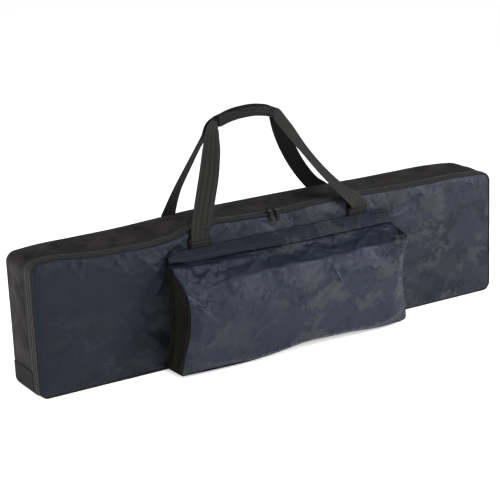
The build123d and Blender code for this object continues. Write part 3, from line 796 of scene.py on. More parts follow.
def strip_on_walls(name, y_span, inset_span, body, slot, material, replaced, wave, seed, columns):
    """Thin flat strip that runs round the ends and over the top; its sizes are in millimetres."""
    core, normal = wall_path(False, 4 * MM, 12)
    run = run_length(core + normal * CORNER)[:, None]
    y = linspace(*y_span, columns)[None, :] * MM
    waver = wave * MM * noise(run, y, 0.03, seed)
    outer, inner = (along_walls(core, normal, y, inset * MM - waver) for inset in inset_span)
    obj = tube(name, np.concatenate([outer, inner[:, ::-1]], axis=1)[:, ::-1])
    return finish(obj, body, slot, material, replaced)


def zip_teeth(name, y_root, y_tip, phase, body, replaced):
    """Nylon coil: one rounded tooth every 3 mm, from its root on the tape to its tip in the middle."""
    core, normal = wall_path(False, 1 * MM, 40)
    outline = core + normal * CORNER
    run = run_length(outline)
    first_tooth_z, left_end = 8 * MM, slice(0, 80)
    start = np.interp(first_tooth_z, outline[left_end, 1], run[left_end])
    places = np.arange(start + phase, run[-1] - start, TOOTH_PITCH)
    cx, cz, nx, nz = (np.interp(places, run, line)[:, None, None] for line in (*core.T, *normal.T))
    size = np.hypot(nx, nz)
    nx, nz = nx / size, nz / size
    width = np.array([0.55, 0.62, 0.62, 0.75, 0.45])[:, None] * MM
    height = np.array([0.35, 0.62, 0.66, 0.66, 0.35])[:, None] * MM
    angle = linspace(0, 2 * math.pi, 8, endpoint=False)
    out, side = CORNER + 0.55 * MM + height * np.sin(angle), width * np.cos(angle)
    x, y, z = cx + nx * out + nz * side, linspace(y_root, y_tip, 5)[:, None], cz + nz * out - nx * side
    obj = add_mesh(name, lifted(x, y, z), capped_faces(len(places), 5, 8, y_tip < y_root))
    return finish(obj, body, "zip_coil", COIL, replaced)


def zips_and_piping():
    """Both piping cords, and the main zip: edging, tapes, binding and two rows of coil."""
    finish(bead("front_piping_cord", FRONT_Y + PIPING_R), "lid", "piping", PIPING_WITH_PAINTED_SHADE, ("front_piping",))
    finish(bead("back_piping_cord", BACK_Y - PIPING_R), "shell", "piping", PIPING_WITH_PAINTED_SHADE, ("back_piping",))
    for strip in (
            ("lid_zip_edging", (-67.2, -62.6), (-0.2, 1.2), "lid", "gusset_fabric", EDGING, ("lid_gusset",),
             0.3, 51, 6),
            ("lid_zip_ribbon", (-66.9, -56.7), (1.0, 1.9), "lid", "zip_tape", TAPE, ("lid_zip_tape",),
             0.15, 52, 8),
            ("shell_zip_ribbon", (-55.3, -39), (1.0, 1.9), "shell", "zip_tape", TAPE, ("shell_zip_tape",),
             0.15, 53, 10),
            ("mouth_binding", (-45.2, -41.5), (-0.9, 12.2), "shell", "lining", EDGING, (), 0.25, 54, 5)):
        strip_on_walls(*strip)
    zip_teeth("lid_zip_teeth", -60.0 * MM, -55.7 * MM, 0.0, "lid", ("lid_zip_coil",))
    zip_teeth("shell_zip_teeth", -52.0 * MM, -56.3 * MM, TOOTH_PITCH / 2, "shell", ("shell_zip_coil",))


# ---- linings
def quilt(u, v, cell=0.055):
    """Diamond quilting: 0 on the seams, 1 between them."""
    a, b = (u + v) / cell, (u - v) / cell
    return np.sqrt(abs(np.sin(a * math.pi)) * abs(np.sin(b * math.pi)))


def lid_lining():
    """Quilted lining of the lid, turned forward round the foam's edge."""
    x, z = rounded_grid(PANEL_INSET - 0.4 * MM, 5 * MM)
    d = edge_distance(x, z, PANEL_INSET - 0.4 * MM)
    y = box("front_lining")[1].y - 0.2 * MM + 1.4 * MM * quilt(x, z) * smooth(d / (12 * MM))
    y = y - 5.2 * MM * (1 - smooth(d / (4 * MM)))
    points = stack(x, y, z + lift(x, FRONT_Y, z))[::-1]
    obj = cloth_sheet("lid_lining", points, LINING_THICK)
    return finish(obj, "lid", "lining", LINING, ("front_lining",))


def shell_lining():
    """Lining of the shell: round the bottom, ends and top in one strip, and over the back wall."""
    core, normal = wall_path(True, 5 * MM, 8)
    run = run_length(core + normal * CORNER)[:, None]
    y = linspace(GUSSET_Y[0], 60 * MM, 24)[None, :]
    inset = PAD_INSET + 0.1 * MM + 1.0 * MM * quilt(run, y) * smooth((y - GUSSET_Y[0]) / 0.012)
    ring = along_walls(core, normal, y, inset)
    ring = np.concatenate([ring, ring[:1]], axis=0)
    obj = cloth_sheet("gusset_lining_cloth", ring[::-1], LINING_THICK)
    finish(obj, "shell", "lining", LINING, ("gusset_lining",))
    x, z = rounded_grid(PAD_INSET, 6 * MM)
    d = edge_distance(x, z, PAD_INSET)
    y = box("back_lining")[0].y - 1.4 * MM * quilt(x, z) * smooth(d / (12 * MM))
    points = lifted(x, y, z)
    obj = cloth_sheet("back_lining_cloth", points, LINING_THICK)
    finish(obj, "shell", "lining", LINING, ("back_lining",))


# ---- handles
LEFT_LEG = ((-237, -79.5, 318, 0, 0, 50), (-237, -80.5, 329, 0, -3, 50), (-236, -82.3, 343, 6, -10, 50),
            (-232, -82.1, 358, 15, -20, 50), (-214, -72, 410, 22, -35, 50), (-190, -55, 466, 24, -40, 50),
            (-168, -34, 520, 24, -42, 46), (-155, -18, 552, 24, -34, 38))
RIGHT_LEG = ((237, -79.5, 318, 0, 0, 50), (237, -80.2, 326, -4, 2, 50), (231, -81.5, 336, -21, 12, 48),
             (218, -82.2, 349, -37, 26, 45), (201, -81.2, 363, -44, 35, 44), (172, -74, 393, -43, 42, 44),
             (135, -60, 438, -39, 44, 44), (100, -43, 490, -35, 41, 43), (70, -24, 541, -34, 26, 40))
GRIP_TURN_R, GRIP_Y = 30, -2.1
GRIP_TURN = ((4, 10, 34), (3, 4, 29), (2, 0, 25), (1, 0, 24))


def grip_turn(turn_x, lean, side):
    """Stations round the turn from a leaning leg into the grip."""
    made = []
    for step, (depth, twist, width) in enumerate(GRIP_TURN):
        angle = lean + (90 - lean) * step / 3
        x = turn_x - side * GRIP_TURN_R * math.cos(math.radians(angle))
        z = GRIP_Z / MM - GRIP_TURN_R + GRIP_TURN_R * math.sin(math.radians(angle))
        made.append((x, GRIP_Y * depth, z, side * angle, -side * twist, width))
    return made


def strap_stations():
    """Webbing of the front handle from its left foot, over the grip, to its right foot."""
    left = list(LEFT_LEG) + grip_turn(-119, 24, 1)
    right = list(RIGHT_LEG) + grip_turn(23, 36, -1)
    return left + [(x, y, z, lean + 180, -twist, width) for x, y, z, lean, twist, width in reversed(right)]


grip_arch = through([(-150, -7), (-128, -5), (-118, -3.5), (-100, 2), (-78, 6.5), (-50, 9), (-20, 9), (2, 6),
                     (20, 2), (36, -4), (60, -6)])


def webbing(name, side, body, replaced):
    """Ribbed strap of one handle; side is -1 at the front and 1 at the back."""
    centre, across, up, width = ribbon_frames(strap_stations(), 320)
    lane = linspace(-1, 1, 45)
    rib = 0.16 * MM * abs(np.cos(lane * 4.5 * math.pi))
    half = 1.0 * MM * np.sqrt(clip(1 - abs(lane) ** 14, 0.05, 1)) - 0.14 * MM + rib
    run = linspace(0, 1, len(centre))[:, None]
    curl = 1.2 * MM * lane ** 2 * np.sin(math.pi * run) * np.cos(9 * math.pi * run)
    middle = centre[:, None] + across[:, None] * (lane[:, None] * width[:, None, None] / 2)
    top, low = (middle + up[:, None] * (face * half + 0.4 * curl)[..., None] for face in (1, -1))
    points = np.concatenate([top, low[:, ::-1]], axis=1)
    points[..., 1] *= -side
    points[..., 2] += 0.6 * grip_arch(points[..., 0]) * smooth((points[..., 2] - 0.545) / 0.035)
    obj = tube(name, points if side < 0 else points[:, ::-1])
    finish(obj, body, "webbing", WEBBING, replaced, (WEBBING_PAINTED_SHADE,))
    # Faces on the strap's inner side take the darker webbing copy: painted shade.
    for face in obj.data.polygons:
        face.material_index = int(face.index % (2 * len(lane)) // len(lane) == (0 if side < 0 else 1))


def tab(name, x0, side, body, replaced):
    """Folded and box-stitched tab that holds the foot of the webbing."""
    z0 = box("front_left_tab")[0].z
    loop = [(0.2, 0.6), (0.2, 12), (0.2, 24.9), (2.5, 25.3), (5.6, 24.9), (6.0, 20), (6.0, 12), (6.0, 4.4),
            (7.4, 2.6), (9.0, 3.6), (9.2, 5.4), (9.5, 6.9), (10.4, 7.2), (10.9, 6.4), (11.0, 4), (10.6, 1.4),
            (8.5, 0.0), (4, 0.0), (1, 0.1)]
    depth, up = rounded_loop(loop, (0, 0.34, 0.67)).T
    half = 29.6 * MM
    x = linspace(-half, half, 41)[:, None]
    soft = 0.35 * MM * noise(x + x0, up, 0.02, 61)
    y = side * (maximum(depth + soft * (depth > 2 * MM), 0.1 * MM) - FRONT_Y)
    points = stack(x0 + x, y, z0 + up + 0.6 * MM * np.cos(x / half * math.pi / 2))
    obj = tube(name, points if side < 0 else points[:, ::-1])
    # The tab's darkened cloth paints the shadow under the strap's foot.
    finish(obj, body, "gusset_fabric", TAB_PAINTED_SHADE, replaced)
    y, low, high = side * (6.15 * MM - FRONT_Y), z0 + 8.6 * MM, z0 + 23.2 * MM
    foot_y, foot_z = side * (11.1 * MM - FRONT_Y), z0 + 4.6 * MM
    a, b = x0 - 26 * MM, x0 + 26 * MM
    rows = (((a, y, high), (b, y, high)), ((a, y, low), (a, y, high)), ((b, y, low), (b, y, high)),
            ((a, foot_y, foot_z), (b, foot_y, foot_z)))
    stitches(name + "_stitches", [(row, (0, side, 0)) for row in rows], body, "webbing")


def grip_half(name, loop, body, replaced, seed):
    """One padded half of the hand grip, pinched in along two lengthwise lines, where hand_grip() lays its
    stitches.
    """
    y, up = rounded_loop(loop).T
    low, high = box("grip_wrap")[0].x - 9 * MM, box("grip_wrap")[1].x + 13 * MM
    x = linspace(low, high, 80)[:, None]
    t = (x - low) / (high - low)
    z = GRIP_Z + (up - GRIP_Z) * (0.80 - 0.06 * (1 - inside(t, 0.04)))
    off = y + 2 * MM
    y = y + 0.45 * MM * noise(x, z, 0.02, seed) * np.sign(off) * smooth((abs(off) - 3 * MM) / (2 * MM))
    z = z + grip_arch(x)
    if name == "grip_front_pad":
        over = maximum(z - GRIP_Z - 10 * MM, 0)
        z = z + 7 * MM * (1 - exp(-over / (7 * MM))) - over
    obj = tube(name, stack(x, y, z))
    return finish(obj, body, "grip_cover", GRIP, replaced)


def grip_strip(name, node_name, body):
    """Hook-and-loop strip that closes the grip along its underside."""
    low, high = box(node_name)
    xs = linspace(low.x, high.x, 60)[:, None]
    y = np.array([low.y, high.y, high.y, low.y])[None, :]
    z = np.array([low.z, low.z, high.z, high.z])[None, :]
    ring = stack(xs, y, GRIP_Z + 0.8 * (z - GRIP_Z) + grip_arch(xs))
    finish(tube(name, ring[:, ::-1], shade=False), body, "hook_and_loop", PILE, (node_name,))


def hand_grip():
    """Padded wrap that joins both handles."""
    back = [(-0.4, 609.6), (-0.3, 611.6), (3, 612.2), (6.6, 611.4), (8.0, 608.5), (8.5, 605), (7.7, 602),
            (8.6, 598), (8.7, 594), (7.7, 591.4), (8.6, 588), (8.3, 583), (7.6, 579.6), (6.4, 577.4),
            (3, 577.2), (-0.3, 577.2), (-0.3, 578.3), (3.2, 578.6), (3.3, 585), (3.3, 595), (3.3, 605),
            (3.2, 609.5)]
    front = [(-0.9, 609.6), (-1.0, 611.6), (-3.5, 612.2), (-6.6, 611.4), (-8.0, 608.5), (-8.6, 605),
             (-7.7, 602), (-8.7, 598), (-8.8, 594), (-7.7, 590.6), (-8.7, 587), (-8.6, 582), (-8.0, 577.6),
             (-7, 575.0), (-5, 574.1), (0, 574.0), (6.8, 574.0), (6.8, 574.8), (0, 574.9), (-3.0, 575.2),
             (-3.7, 577), (-3.7, 585), (-3.7, 595), (-3.7, 605), (-3.4, 609.4)]
    grip_half("grip_back_pad", back[::-1], "back_strap", ("grip_wrap",), 71)
    grip_half("grip_front_pad", front, "grip_cover", ("grip_flap",), 72)
    grip_strip("grip_loop_tape", "grip_loop_strip", "back_strap")
    grip_strip("grip_hook_tape", "grip_hook_strip", "grip_cover")
    xs = linspace(box("grip_wrap")[0].x - 4 * MM, box("grip_wrap")[1].x + 5 * MM, 44)
    for end, body, side, low in (("front", "grip_cover", -1, 590.6), ("back", "back_strap", 1, 591.4)):
        lines = [(stack(xs, side * 7.75 * MM, GRIP_Z + 0.8 * (z * MM - GRIP_Z) + grip_arch(xs)), (0, side, 0))
                 for z in (602, low)]
        stitches("grip_" + end + "_stitches", lines, body, "grip_cover")


# ---- pocket
def pocket_profile(count):
    """(y, z) up the pocket's face, over its shoulder and along its top to the mouth; shares; length."""
    shoulder = np.array([(0, -60), (0, -16), (1.5, -5), (6, 1.6), (18, 8)]) * MM + (POCKET_Y, SHOULDER_Z)
    face = [(POCKET_Y, POCKET_LOW), (POCKET_Y, POCKET_LOW + 30 * MM)]
    corner = np.vstack([face, shoulder, np.array([(-20, -8.6), (0, -0.3)]) * MM + MOUTH])
    run = run_length(corner)
    s = linspace(0, run[-1], count)
    return stack(*(np.interp(s, run, line) for line in corner.T)), s / run[-1], run[-1]


# How far each side edge of the pocket is drawn in, and pushed forward, at a height.
left_in = through([(8, -14), (60, -6), (100, 4), (130, 9), (190, 12), (225, 10), (245, 6), (262, 2),
                   (275, 0)])
left_out = through([(8, -8), (60, 0), (120, 6), (190, 4), (236, -2), (275, 0)])
right_in = through([(8, 9), (60, 13), (100, 17), (170, 17), (210, 9), (236, -3), (262, 0), (275, 0)])
right_out = through([(8, 0), (60, 2), (120, 0), (190, 1), (236, 2), (275, 0)])
side_flare = through([(8, 17), (40, 9), (80, 2), (110, 0), (275, 0)])


def mouth_droop(x):
    """How far the pocket's mouth, its zip and the storm flap's seam drop at their ends."""
    return -7 * MM * smooth((-0.315 - x) / 0.02) - 3 * MM * smooth((x - 0.312) / 0.022)


def zip_droop(x, z):
    """The same drop for the zip under the flap, which its lower edge doesn't share."""
    return mouth_droop(x) * clip((z - 0.270) / 0.0265, 0, 1)


def pocket_sag(x, share):
    """Drop of the pocket's cloth, at a share of the way from its bottom seam to its mouth."""
    shoulder = -20 * MM * smooth((-0.17 - x) / 0.165) * hump(share, 0.71, 0.13)
    stuffed = 8 * MM * smooth((0.06 - x) / 0.3) * hump(share, 0.935, 0.035)
    return shoulder + stuffed - 3 * MM * smooth((x - 0.312) / 0.022) * smooth((share - 0.76) / 0.24)


def near_ends(x):
    """Rises from 0 at the pocket's middle to 1 at its left edge, and at its right edge."""
    return clip(-x / POCKET_HALF, 0, 1) ** 6, clip(x / POCKET_HALF, 0, 1) ** 6


def pocket_edge(x, y, z):
    """Shift of a pocket point so that the side edges bow as cloth does: (dx, dy)."""
    left = smooth(0.5 - x / (2 * POCKET_HALF)) ** 3
    right = smooth(0.5 + x / (2 * POCKET_HALF)) ** 3
    near_left, near_right = near_ends(x)
    dx = near_left * left_in(z) - near_right * right_in(z)
    dy = -(left * left_out(z) + right * right_out(z)) * smooth((FRONT_Y - 0.02 - y) / 0.05)
    return dx, dy


bottom_wave = through([(-335, 0), (-240, -1), (-160, -1.5), (-65, 4), (5, 12), (80, 11), (145, 9),
                       (241, 2), (295, 3), (320, 5), (335, 12)])
shoulder_wave = through([(-335, -3), (-290, -9), (-235, -6), (-180, -1), (-130, -6), (-90, 0), (-20, 2),
                         (60, -3), (130, 1), (200, 3), (260, 0), (300, 3), (335, 5)])


def settle(points, pinned, frames, shrink, gravity, cap):
    """Let a grid of cloth hang for some frames between its pinned points; no point moves further than cap."""
    n, m = points.shape[:2]
    obj = add_mesh("settling", points, quads(np.arange(n * m).reshape(n, m)).tolist())
    group = obj.vertex_groups.new(name="pin")
    group.add([int(i) for i in np.flatnonzero(pinned.ravel())], 1.0, "REPLACE")
    cloth = obj.modifiers.new("cloth", "CLOTH")
    for key, value in {"quality": 6, "mass": 0.25, "tension_stiffness": 18, "compression_stiffness": 18,
                       "shear_stiffness": 6, "bending_stiffness": 0.25, "air_damping": 2.5,
                       "shrink_min": shrink, "vertex_group_mass": "pin"}.items():
        setattr(cloth.settings, key, value)
    cloth.settings.effector_weights.gravity = 1.0
    cloth.collision_settings.use_collision = False
    cloth.point_cache.frame_start, cloth.point_cache.frame_end = 1, frames
    scene = bpy.context.scene
    kept = tuple(scene.gravity)
    scene.gravity = gravity
    for number in range(1, frames + 1):
        scene.frame_set(number)
    shown = obj.evaluated_get(bpy.context.evaluated_depsgraph_get())
    mesh = shown.to_mesh()
    moved = np.zeros(len(mesh.vertices) * 3, np.float32)
    mesh.vertices.foreach_get("co", moved)
    shown.to_mesh_clear()
    scene.frame_set(1)
    scene.gravity = kept
    bpy.data.objects.remove(obj, do_unlink=True)
    shift = moved.reshape(n, m, 3).astype(float) - points
    for _ in range(2):
        shift[1:-1] = (shift[:-2] + 2 * shift[1:-1] + shift[2:]) / 4
        shift[:, 1:-1] = (shift[:, :-2] + 2 * shift[:, 1:-1] + shift[:, 2:]) / 4
    size = np.linalg.norm(shift, axis=2, keepdims=True)
    return points + shift * minimum(1, cap / maximum(size, 1e-9))


def refine(points, factor):
    """Finer grid through the same points."""
    for axis in (0, 1):
        n = points.shape[axis]
        t = linspace(0, n - 1, (n - 1) * factor + 1)
        i = clip(t.astype(int), 0, n - 2)
        f = (t - i).reshape((-1, 1, 1) if axis == 0 else (1, -1, 1))
        points = spline(*(np.take(points, clip(i + k, 0, n - 1), axis=axis) for k in (-1, 0, 1, 2)), f)
    return points


def pocket_cloth():
    """Cloth of the pocket's face and top in one piece, left to sag between its seams, then creased."""
    profile, share, length = pocket_profile(50)
    xs = linspace(-POCKET_HALF, POCKET_HALF, 108)
    x, s = grid(xs, share * length)
    y, z = (np.broadcast_to(line, x.shape) for line in profile.T)
    low = smooth(1 - (z - POCKET_LOW) / 0.06)
    dx, dy = pocket_edge(x, y, z)
    shoulder = hump(s, 0.70 * length, 0.035) * smooth((POCKET_HALF - abs(x)) / 0.02)
    broken = 5 * MM * noise(x, s * 0.4, 0.045, 86)
    y = y - shoulder * (0.5 * shoulder_wave(x) + 0.6 * broken)
    z = z + low * bottom_wave(x) + shoulder * (shoulder_wave(x) + broken) + pocket_sag(x, s / length)
    points = stack(x + dx, y + dy, z)
    pinned = np.zeros(x.shape, bool)
    pinned[:, 0] = pinned[:, -1] = pinned[0] = pinned[-1] = True
    points = settle(points, pinned, 22, -0.025, (0, -3.0, -2.5), 9 * MM)
    points = refine(points, 3)
    u, v = (refine(line[..., None], 3)[..., 0] for line in (x, s))
    edge = smooth(minimum(minimum(v, length - v), POCKET_HALF - abs(u)) / (7 * MM))
    face = smooth((v - 0.05) / 0.09) * smooth((0.235 - v) / 0.03)
    top = smooth((v - 0.205) / 0.02)
    height = 1.15 * creases(u, v, POCKET_FOLDS) + 0.9 * MM * noise(u, v, 0.05, 81, 3)
    height = height + face * (2.5 * MM * crumple(u, v, 0.028, 311, thin=0.13)
                              - 0.8 * MM * crumple(u, v, 0.045, 312, 0.3))
    height = height + top * (2.4 * MM * crumple(u, v, 0.030, 313, 1.0)
                             - 2.2 * MM * crumple(u, v, 0.034, 314, -0.35))
    height = height + 1.0 * MM * crumple(u, v, 0.05, 315, 0.9) * smooth((0.08 - v) / 0.05)
    seam_flat = 1 - 0.8 * smooth((v - (length - 26 * MM)) / (10 * MM))
    points = points + normals(points) * (height * edge * seam_flat)[..., None]
    obj = cloth_sheet("pocket_cloth", points, POCKET_THICK)
    return finish(obj, "pocket_front", "camo_fabric", CAMO_POCKET_PAINTED_LIGHT, ("pocket_face", "pocket_top"))


def pocket_folds():
    """Folds of the pocket, listed in millimetres: along the bag, and up the cloth from the bottom seam."""
    rng = np.random.default_rng(82)
    lines = [
        # long diagonals of the face, rising to the right
        (-300, 60, -180, 150, 10, 2.2, 6), (-250, 160, -150, 215, 8, 2.6, 5),
        (-160, 60, -60, 120, 9, 2.0, 5), (-120, 150, -20, 200, 7, 2.8, 4), (0, 40, 90, 110, 9, 2.4, 6),
        (60, 120, 160, 190, 8, 2.6, 5), (150, 60, 250, 140, 9, 2.4, 6), (200, 150, 310, 205, 8, 2.8, 4),
        (230, 60, 320, 110, 8, 2.2, 4), (-60, 190, 20, 160, 7, 2.0, -3), (90, 210, 180, 180, 8, 2.0, -4),
        (-330, 200, -270, 150, 7, 2.4, 3), (-310, 228, -240, 190, 6, 2.8, 2),
        (290, 190, 330, 120, 7, 2.4, 3), (-200, 30, -120, 12, 6, 1.8, 2), (20, 20, 90, 40, 6, 2.2, 2),
        (250, 20, 320, 45, 6, 2.2, 2), (-60, 18, 0, 44, 6, 2.4, 2),
        # the sloping top: folds that cross it from the shoulder to the mouth
        (-325, 232, -280, 300, 6, 3.0, 2), (-300, 236, -200, 292, 7, 2.8, 3),
        (-230, 240, -190, 300, 5, 2.2, 2), (-150, 238, -60, 296, 7, 2.8, 3),
        (-80, 240, -40, 300, 5, 2.0, 1), (20, 240, 100, 296, 7, 2.6, 3), (120, 238, 150, 298, 5, 2.2, 1),
        (180, 240, 270, 294, 8, 2.8, 3), (260, 238, 322, 296, 6, 3.2, 3), (300, 234, 330, 270, 5, 3.0, 1),
        (-260, 262, -120, 272, 8, -1.8, 2), (40, 262, 210, 270, 8, -1.8, 3),
        # the shoulder itself, broken up along its length
        (-334, 226, -200, 236, 6, 2.6, 2), (-180, 232, -40, 226, 6, 2.2, 2),
        (-20, 230, 130, 236, 6, 2.4, -2), (150, 232, 333, 230, 6, 2.8, 2),
    ]
    for _ in range(26):
        u, v = rng.uniform(-310, 310), rng.uniform(25, 215)
        reach, turn = rng.uniform(22, 60), math.radians(rng.uniform(15, 60))
        lines.append((u, v, u + reach * math.cos(turn), v + reach * math.sin(turn), rng.uniform(3, 6),
                      rng.uniform(0.6, 1.6) * rng.choice((-0.8, 1.0)), rng.uniform(-4, 4)))
    lines += puckers((-320, 320), 3, 1, 1.7, 83, gap=(16, 40), length=(14, 34))
    side = puckers((20, 215), -331, 1, 1.4, 84) + puckers((20, 215), 331, -1, 1.8, 85)
    lines += [(b, a, d, c, w, h, k) for a, b, c, d, w, h, k in side]
    return lines


POCKET_FOLDS = pocket_folds()


def pocket_side(name, sign, replaced):
    """Bellows side of the pocket, folded inward, from the front wall to the pocket's own edge."""
    rows, cols = 70, 34
    v = linspace(0, 1, rows)[:, None]
    u = linspace(0, 1, cols)[None, :]
    back_z = 9.6 * MM + (box("pocket_left_side")[1].z - 16 * MM) * v
    profile, share, _ = pocket_profile(200)
    profile = np.vstack([profile, [(box("pocket_upper_tape")[0].y, 284 * MM)]])
    key = np.concatenate([share * 0.97, [1.0]])
    front_y = np.interp(v, key, profile[:, 0]) + 1.0 * MM * smooth((0.9 - v) / 0.2)
    front_z = np.interp(v, key, profile[:, 1])
    edge_x = np.full_like(v, sign * POCKET_HALF)
    dx, dy = pocket_edge(edge_x, front_y, front_z)
    front_z = front_z + smooth(1 - (front_z - POCKET_LOW) / 0.06) * bottom_wave(edge_x)
    front_z = front_z + pocket_sag(edge_x, v / 0.97) + mouth_droop(edge_x) * smooth((v - 0.97) / 0.03)
    back_z = back_z + mouth_droop(edge_x) * smooth((v - 0.76) / 0.24)
    back_x = sign * (POCKET_HALF - 0.4 * MM) + (sign < 0) * -side_flare(back_z)
    x = back_x + (edge_x - sign * 0.9 * MM + dx - back_x) * u
    y = FRONT_Y - 0.3 * MM + (front_y + dy - FRONT_Y + 0.3 * MM) * u
    z = back_z + (front_z - back_z) * u
    depth = clip((FRONT_Y - y) / 0.092, 0, 1)
    fold = 0.52 + 0.28 * v
    inward = 13 * MM * hump(depth, fold, 0.16) + 6 * MM * hump(depth, 0.14, 0.09)
    pleat = depth - (0.18 + 0.75 * (1 - v))
    inward = inward + 3.5 * MM * (hump(pleat, 0, 0.05) - 0.7 * hump(pleat, 0.12, 0.06))
    inward = inward * smooth(v / 0.12) * smooth((1 - v) / 0.22) * inside(u, 0.1)
    ripple = 0.8 * MM * noise(y, z, 0.03, 91 + (sign > 0)) * inside(u, 0.1)
    points = stack(x - sign * (inward + ripple), y, z)
    obj = cloth_sheet(name, points[:, ::-1] if sign < 0 else points, 0.9 * MM)
    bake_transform(obj)
    return finish(obj, None, "gusset_fabric", SIDE, replaced)


def pocket_base():
    """Cloth of the pocket's floor, sagging a little between its seams."""
    low, high = box("pocket_floor")
    x, y = grid(linspace(low.x, high.x, 160), linspace(low.y, high.y, 26))
    t = (y - low.y) / (high.y - low.y)
    e = inside(t, 0.15) * smooth((POCKET_HALF - abs(x)) / 0.02)
    near_left, near_right = near_ends(x)
    x = x + near_left * (left_in(low.z) * (1 - t) - side_flare(low.z) * t)
    x = x - near_right * right_in(low.z) * (1 - t)
    y = y + near_left * 8 * MM * (1 - t) ** 2
    z = low.z + 0.3 * MM + bottom_wave(x) * (1 - t) ** 2 + e * (-1.2 * MM + 0.9 * MM * noise(x, y, 0.05, 95))
    obj = cloth_sheet("pocket_base_cloth", stack(x, y, z)[:, ::-1], POCKET_THICK)
    return finish(obj, "lid", "camo_fabric", CAMO_POCKET_PAINTED_LIGHT, ("pocket_floor",))


def storm_flap():
    """Storm flap over the pocket's zip: a hemmed strip with folds across it."""
    x, t = grid(linspace(3 * MM - POCKET_HALF, POCKET_HALF - 3.5 * MM, 250), linspace(0, 1, 18))
    hinge, tip = (-79.2 * MM, 298.6 * MM), (-98 * MM, 266.6 * MM)
    out_y, out_z = -0.863, 0.505
    rng = np.random.default_rng(101)
    lines = [(at + rng.uniform(-12, 12), 2, at + rng.uniform(-16, 22), 36, rng.uniform(3, 7),
              rng.uniform(0.3, 1.1), 0)
             for at in (-300, -255, -205, -150, -118, -50, -12, 52, 88, 150, 196, 240, 285, 312)]
    left_half, left_end = smooth((0.05 - x) / 0.3), smooth((-0.27 - x) / 0.065)
    y = hinge[0] + (tip[0] - hinge[0] + (left_end * 8 + left_half) * MM) * t
    z = hinge[1] + (tip[1] - hinge[1] + (left_half * 7 + left_end * 3) * MM) * t + mouth_droop(x) * (1 - t)
    folds = creases(x, t * 38 * MM, lines) + 0.8 * MM * crumple(x, t * 0.038, 0.022, 321, 0.5)
    swell = 1.3 * MM * smooth(t * 1.4) * (0.6 + noise(x, t * 0.03, 0.07, 102)) + folds * smooth(t / 0.2)
    hem = 0.4 * MM * smooth((t - 0.74) / 0.04) * smooth((1.0 - t) / 0.04)
    ends = 1.6 * MM * (hump(x, 0.296, 0.022) + 1.5 * hump(x, -0.322, 0.03)) * smooth(t / 0.3)
    out = maximum(swell, 0) + hem + ends
    droop = through([(-335, 0), (-200, 1.5), (-90, 0), (60, 2), (200, 0), (335, 1)])(x) * t
    points = stack(x, y + out_y * out, z + out_z * out - droop * 0.3)
    obj = cloth_sheet("storm_flap_cloth", points[:, ::-1], 1.1 * MM)
    finish(obj, "storm_flap", "camo_fabric", CAMO_FLAP_PAINTED_SHADE, ("pocket_flap",))
    xs = linspace(-0.330, 0.330, 200)
    hem_row = 12
    seam = points[:, hem_row]
    line = stack(xs, *(np.interp(xs, seam[:, 0], seam[:, c]) for c in (1, 2)))
    stitches("storm_flap_stitches", [(line, (0, out_y, out_z))], "storm_flap", "camo_fabric")


def flap_seam():
    """Folded seam allowance that the storm flap is sewn to."""
    low, high = box("flap_root")
    x = linspace(low.x, high.x, 240)[:, None]
    y, z = rounded_loop([(-72, 298.9), (-72, 297.4), (-75, 297.4), (-77.2, 297.5), (-77.7, 298.2),
                         (-77.2, 299.0), (-75, 299.1)], (0, 1 / 3, 2 / 3)).T
    obj = tube("flap_seam", stack(x, y, z + mouth_droop(x) + 0.25 * MM * noise(x, x * 0, 0.02, 103)))
    finish(obj, "lid", "camo_fabric", CAMO, ("flap_root",))


def pocket_zip():
    """Zip of the pocket, under the storm flap: two tapes and two rows of coil teeth."""
    for name, body, tape, coil, rows in (
            ("pocket_upper_zip", "lid", "pocket_upper_tape", "pocket_upper_coil",
             ((-73.4, 296.3), (-76.4, 291.0), (-79.0, 285.6))),
            ("pocket_lower_zip", "pocket_front", "pocket_lower_tape", "pocket_lower_coil",
             ((-80.6, 282.6), (-83.2, 277.5), (-86.5, 270.2)))):
        low, high = box(tape)
        xs = linspace(low.x, high.x, 200)[:, None]
        y, z = (np.array(c)[None, :] * MM for c in zip(*rows))
        points = stack(xs, y, z + zip_droop(xs, z))
        finish(cloth_sheet(name + "_ribbon", points[:, ::-1], 0.7 * MM), body, "zip_tape", TAPE, (tape,))
        low, high = box(coil)
        places = np.arange(low.x + 1 * MM, high.x, POCKET_TOOTH_PITCH)
        if body == "lid":
            places = places + POCKET_TOOTH_PITCH / 2
        angle = linspace(0, 2 * math.pi, 6, endpoint=False)
        x, share, turn = grid(places, linspace(0, 1, 4), angle)
        radius = 0.55 * MM * (1 - 0.35 * abs(share - 0.5))
        y = low.y + 1.6 * MM + (high.y - low.y - 2.6 * MM) * share + radius * np.sin(turn) * 0.8
        z = low.z + 0.6 * MM + (high.z - low.z - 1.2 * MM) * share + radius * np.sin(turn) * 0.4
        verts = stack(x + radius * np.cos(turn), y, z + zip_droop(x, z))
        obj = add_mesh(name + "_teeth", verts, capped_faces(len(places), 4, 6))
        finish(obj, body, "zip_coil", COIL, (coil,))


# ---- build
front_wall()
back_wall()
gusset_wall()
bottom_wall()
zips_and_piping()
lid_lining()
shell_lining()
webbing("front_webbing", -1, "front_strap", ("front_handle",))
webbing("back_webbing", 1, "back_strap", ("back_handle",))
for end, x0 in (("left", -HANDLE_X), ("right", HANDLE_X)):
    tab("front_" + end + "_strap_tab", x0, -1, "lid", ("front_" + end + "_tab",))
    tab("back_" + end + "_strap_tab", x0, 1, "shell", ("back_" + end + "_tab",))
hand_grip()
pocket_cloth()
pocket_side("pocket_left_bellows", -1, ("pocket_left_side",))
pocket_side("pocket_right_bellows", 1, ("pocket_right_side",))
pocket_base()
storm_flap()
flap_seam()
pocket_zip()

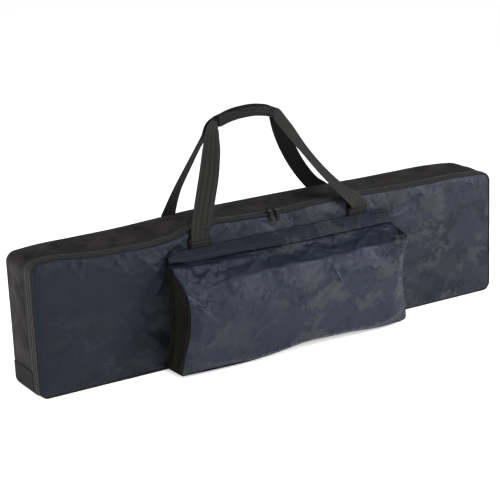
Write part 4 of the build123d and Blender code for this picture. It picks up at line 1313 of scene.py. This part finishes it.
KEPT = {
    WEBBING: ("front_left_web_root", "front_right_web_root", "back_left_web_root", "back_right_web_root"),
    TAPE: ("pocket_zip_garage",),
    METAL: ("left_zip_slider", "right_zip_slider", "left_zip_pull", "right_zip_pull", "pocket_slider",
            "pocket_pull"),
    RUBBER: ("left_corner_guard", "right_corner_guard"),
}
for material, names in KEPT.items():
    for name in names:
        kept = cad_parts[name]
        for slot in kept.material_slots:
            slot.material = material
        if not kept.material_slots:
            kept.data.materials.append(material)

# ---- camera, floor and light
AZIMUTH, ELEVATION, ROLL = math.radians(-30.8), math.radians(16.4), math.radians(-2.5)
DISTANCE = 4.02
TARGET = Vector((-0.048, 0.0, 0.238))
back = Vector((math.sin(AZIMUTH) * math.cos(ELEVATION), -math.cos(AZIMUTH) * math.cos(ELEVATION),
               math.sin(ELEVATION)))
camera = bpy.data.objects.new("camera", bpy.data.cameras.new("camera"))
bpy.context.collection.objects.link(camera)
camera.location = TARGET + back * DISTANCE
camera.rotation_mode = "QUATERNION"
camera.rotation_quaternion = (-back).to_track_quat("-Z", "Y") @ Quaternion((0, 0, 1), ROLL)
camera.data.lens = 112.1
camera.data.sensor_width = 36.0
camera.data.clip_end = 100.0
bpy.context.scene.camera = camera

floor = add_mesh("studio_floor", [(-30, -30, 0), (30, -30, 0), (30, 30, 0), (-30, 30, 0)], [(0, 1, 2, 3)])
floor.location.z = -0.4 * MM
floor.data.materials.append(floor_material())


def area_light(name, place, target, size, power):
    """Round lamp at a place, turned to its target."""
    data = bpy.data.lights.new(name, "AREA")
    data.shape = "DISK"
    data.size = size
    data.energy = power
    lamp = bpy.data.objects.new(name, data)
    bpy.context.collection.objects.link(lamp)
    lamp.location = place
    lamp.rotation_mode = "QUATERNION"
    lamp.rotation_quaternion = (Vector(target) - Vector(place)).to_track_quat("-Z", "Y")


area_light("key", (1.75, -1.7, 1.0), (0.2, -0.1, 0.2), 0.8, 62)
area_light("fill", (-3.0, 0.3, 0.9), (-0.5, 0, 0.2), 1.6, 92)
area_light("top", (0.1, -1.3, 2.0), (0.0, -0.1, 0.3), 1.0, 34)
world = bpy.data.worlds.new("studio")
world.use_nodes = True
world.node_tree.nodes["Background"].inputs["Color"].default_value = (1, 1, 1, 1)
world.node_tree.nodes["Background"].inputs["Strength"].default_value = 0.5
bpy.context.scene.world = world
bpy.context.scene.view_settings.view_transform = "Standard"

bpy.context.view_layer.update()
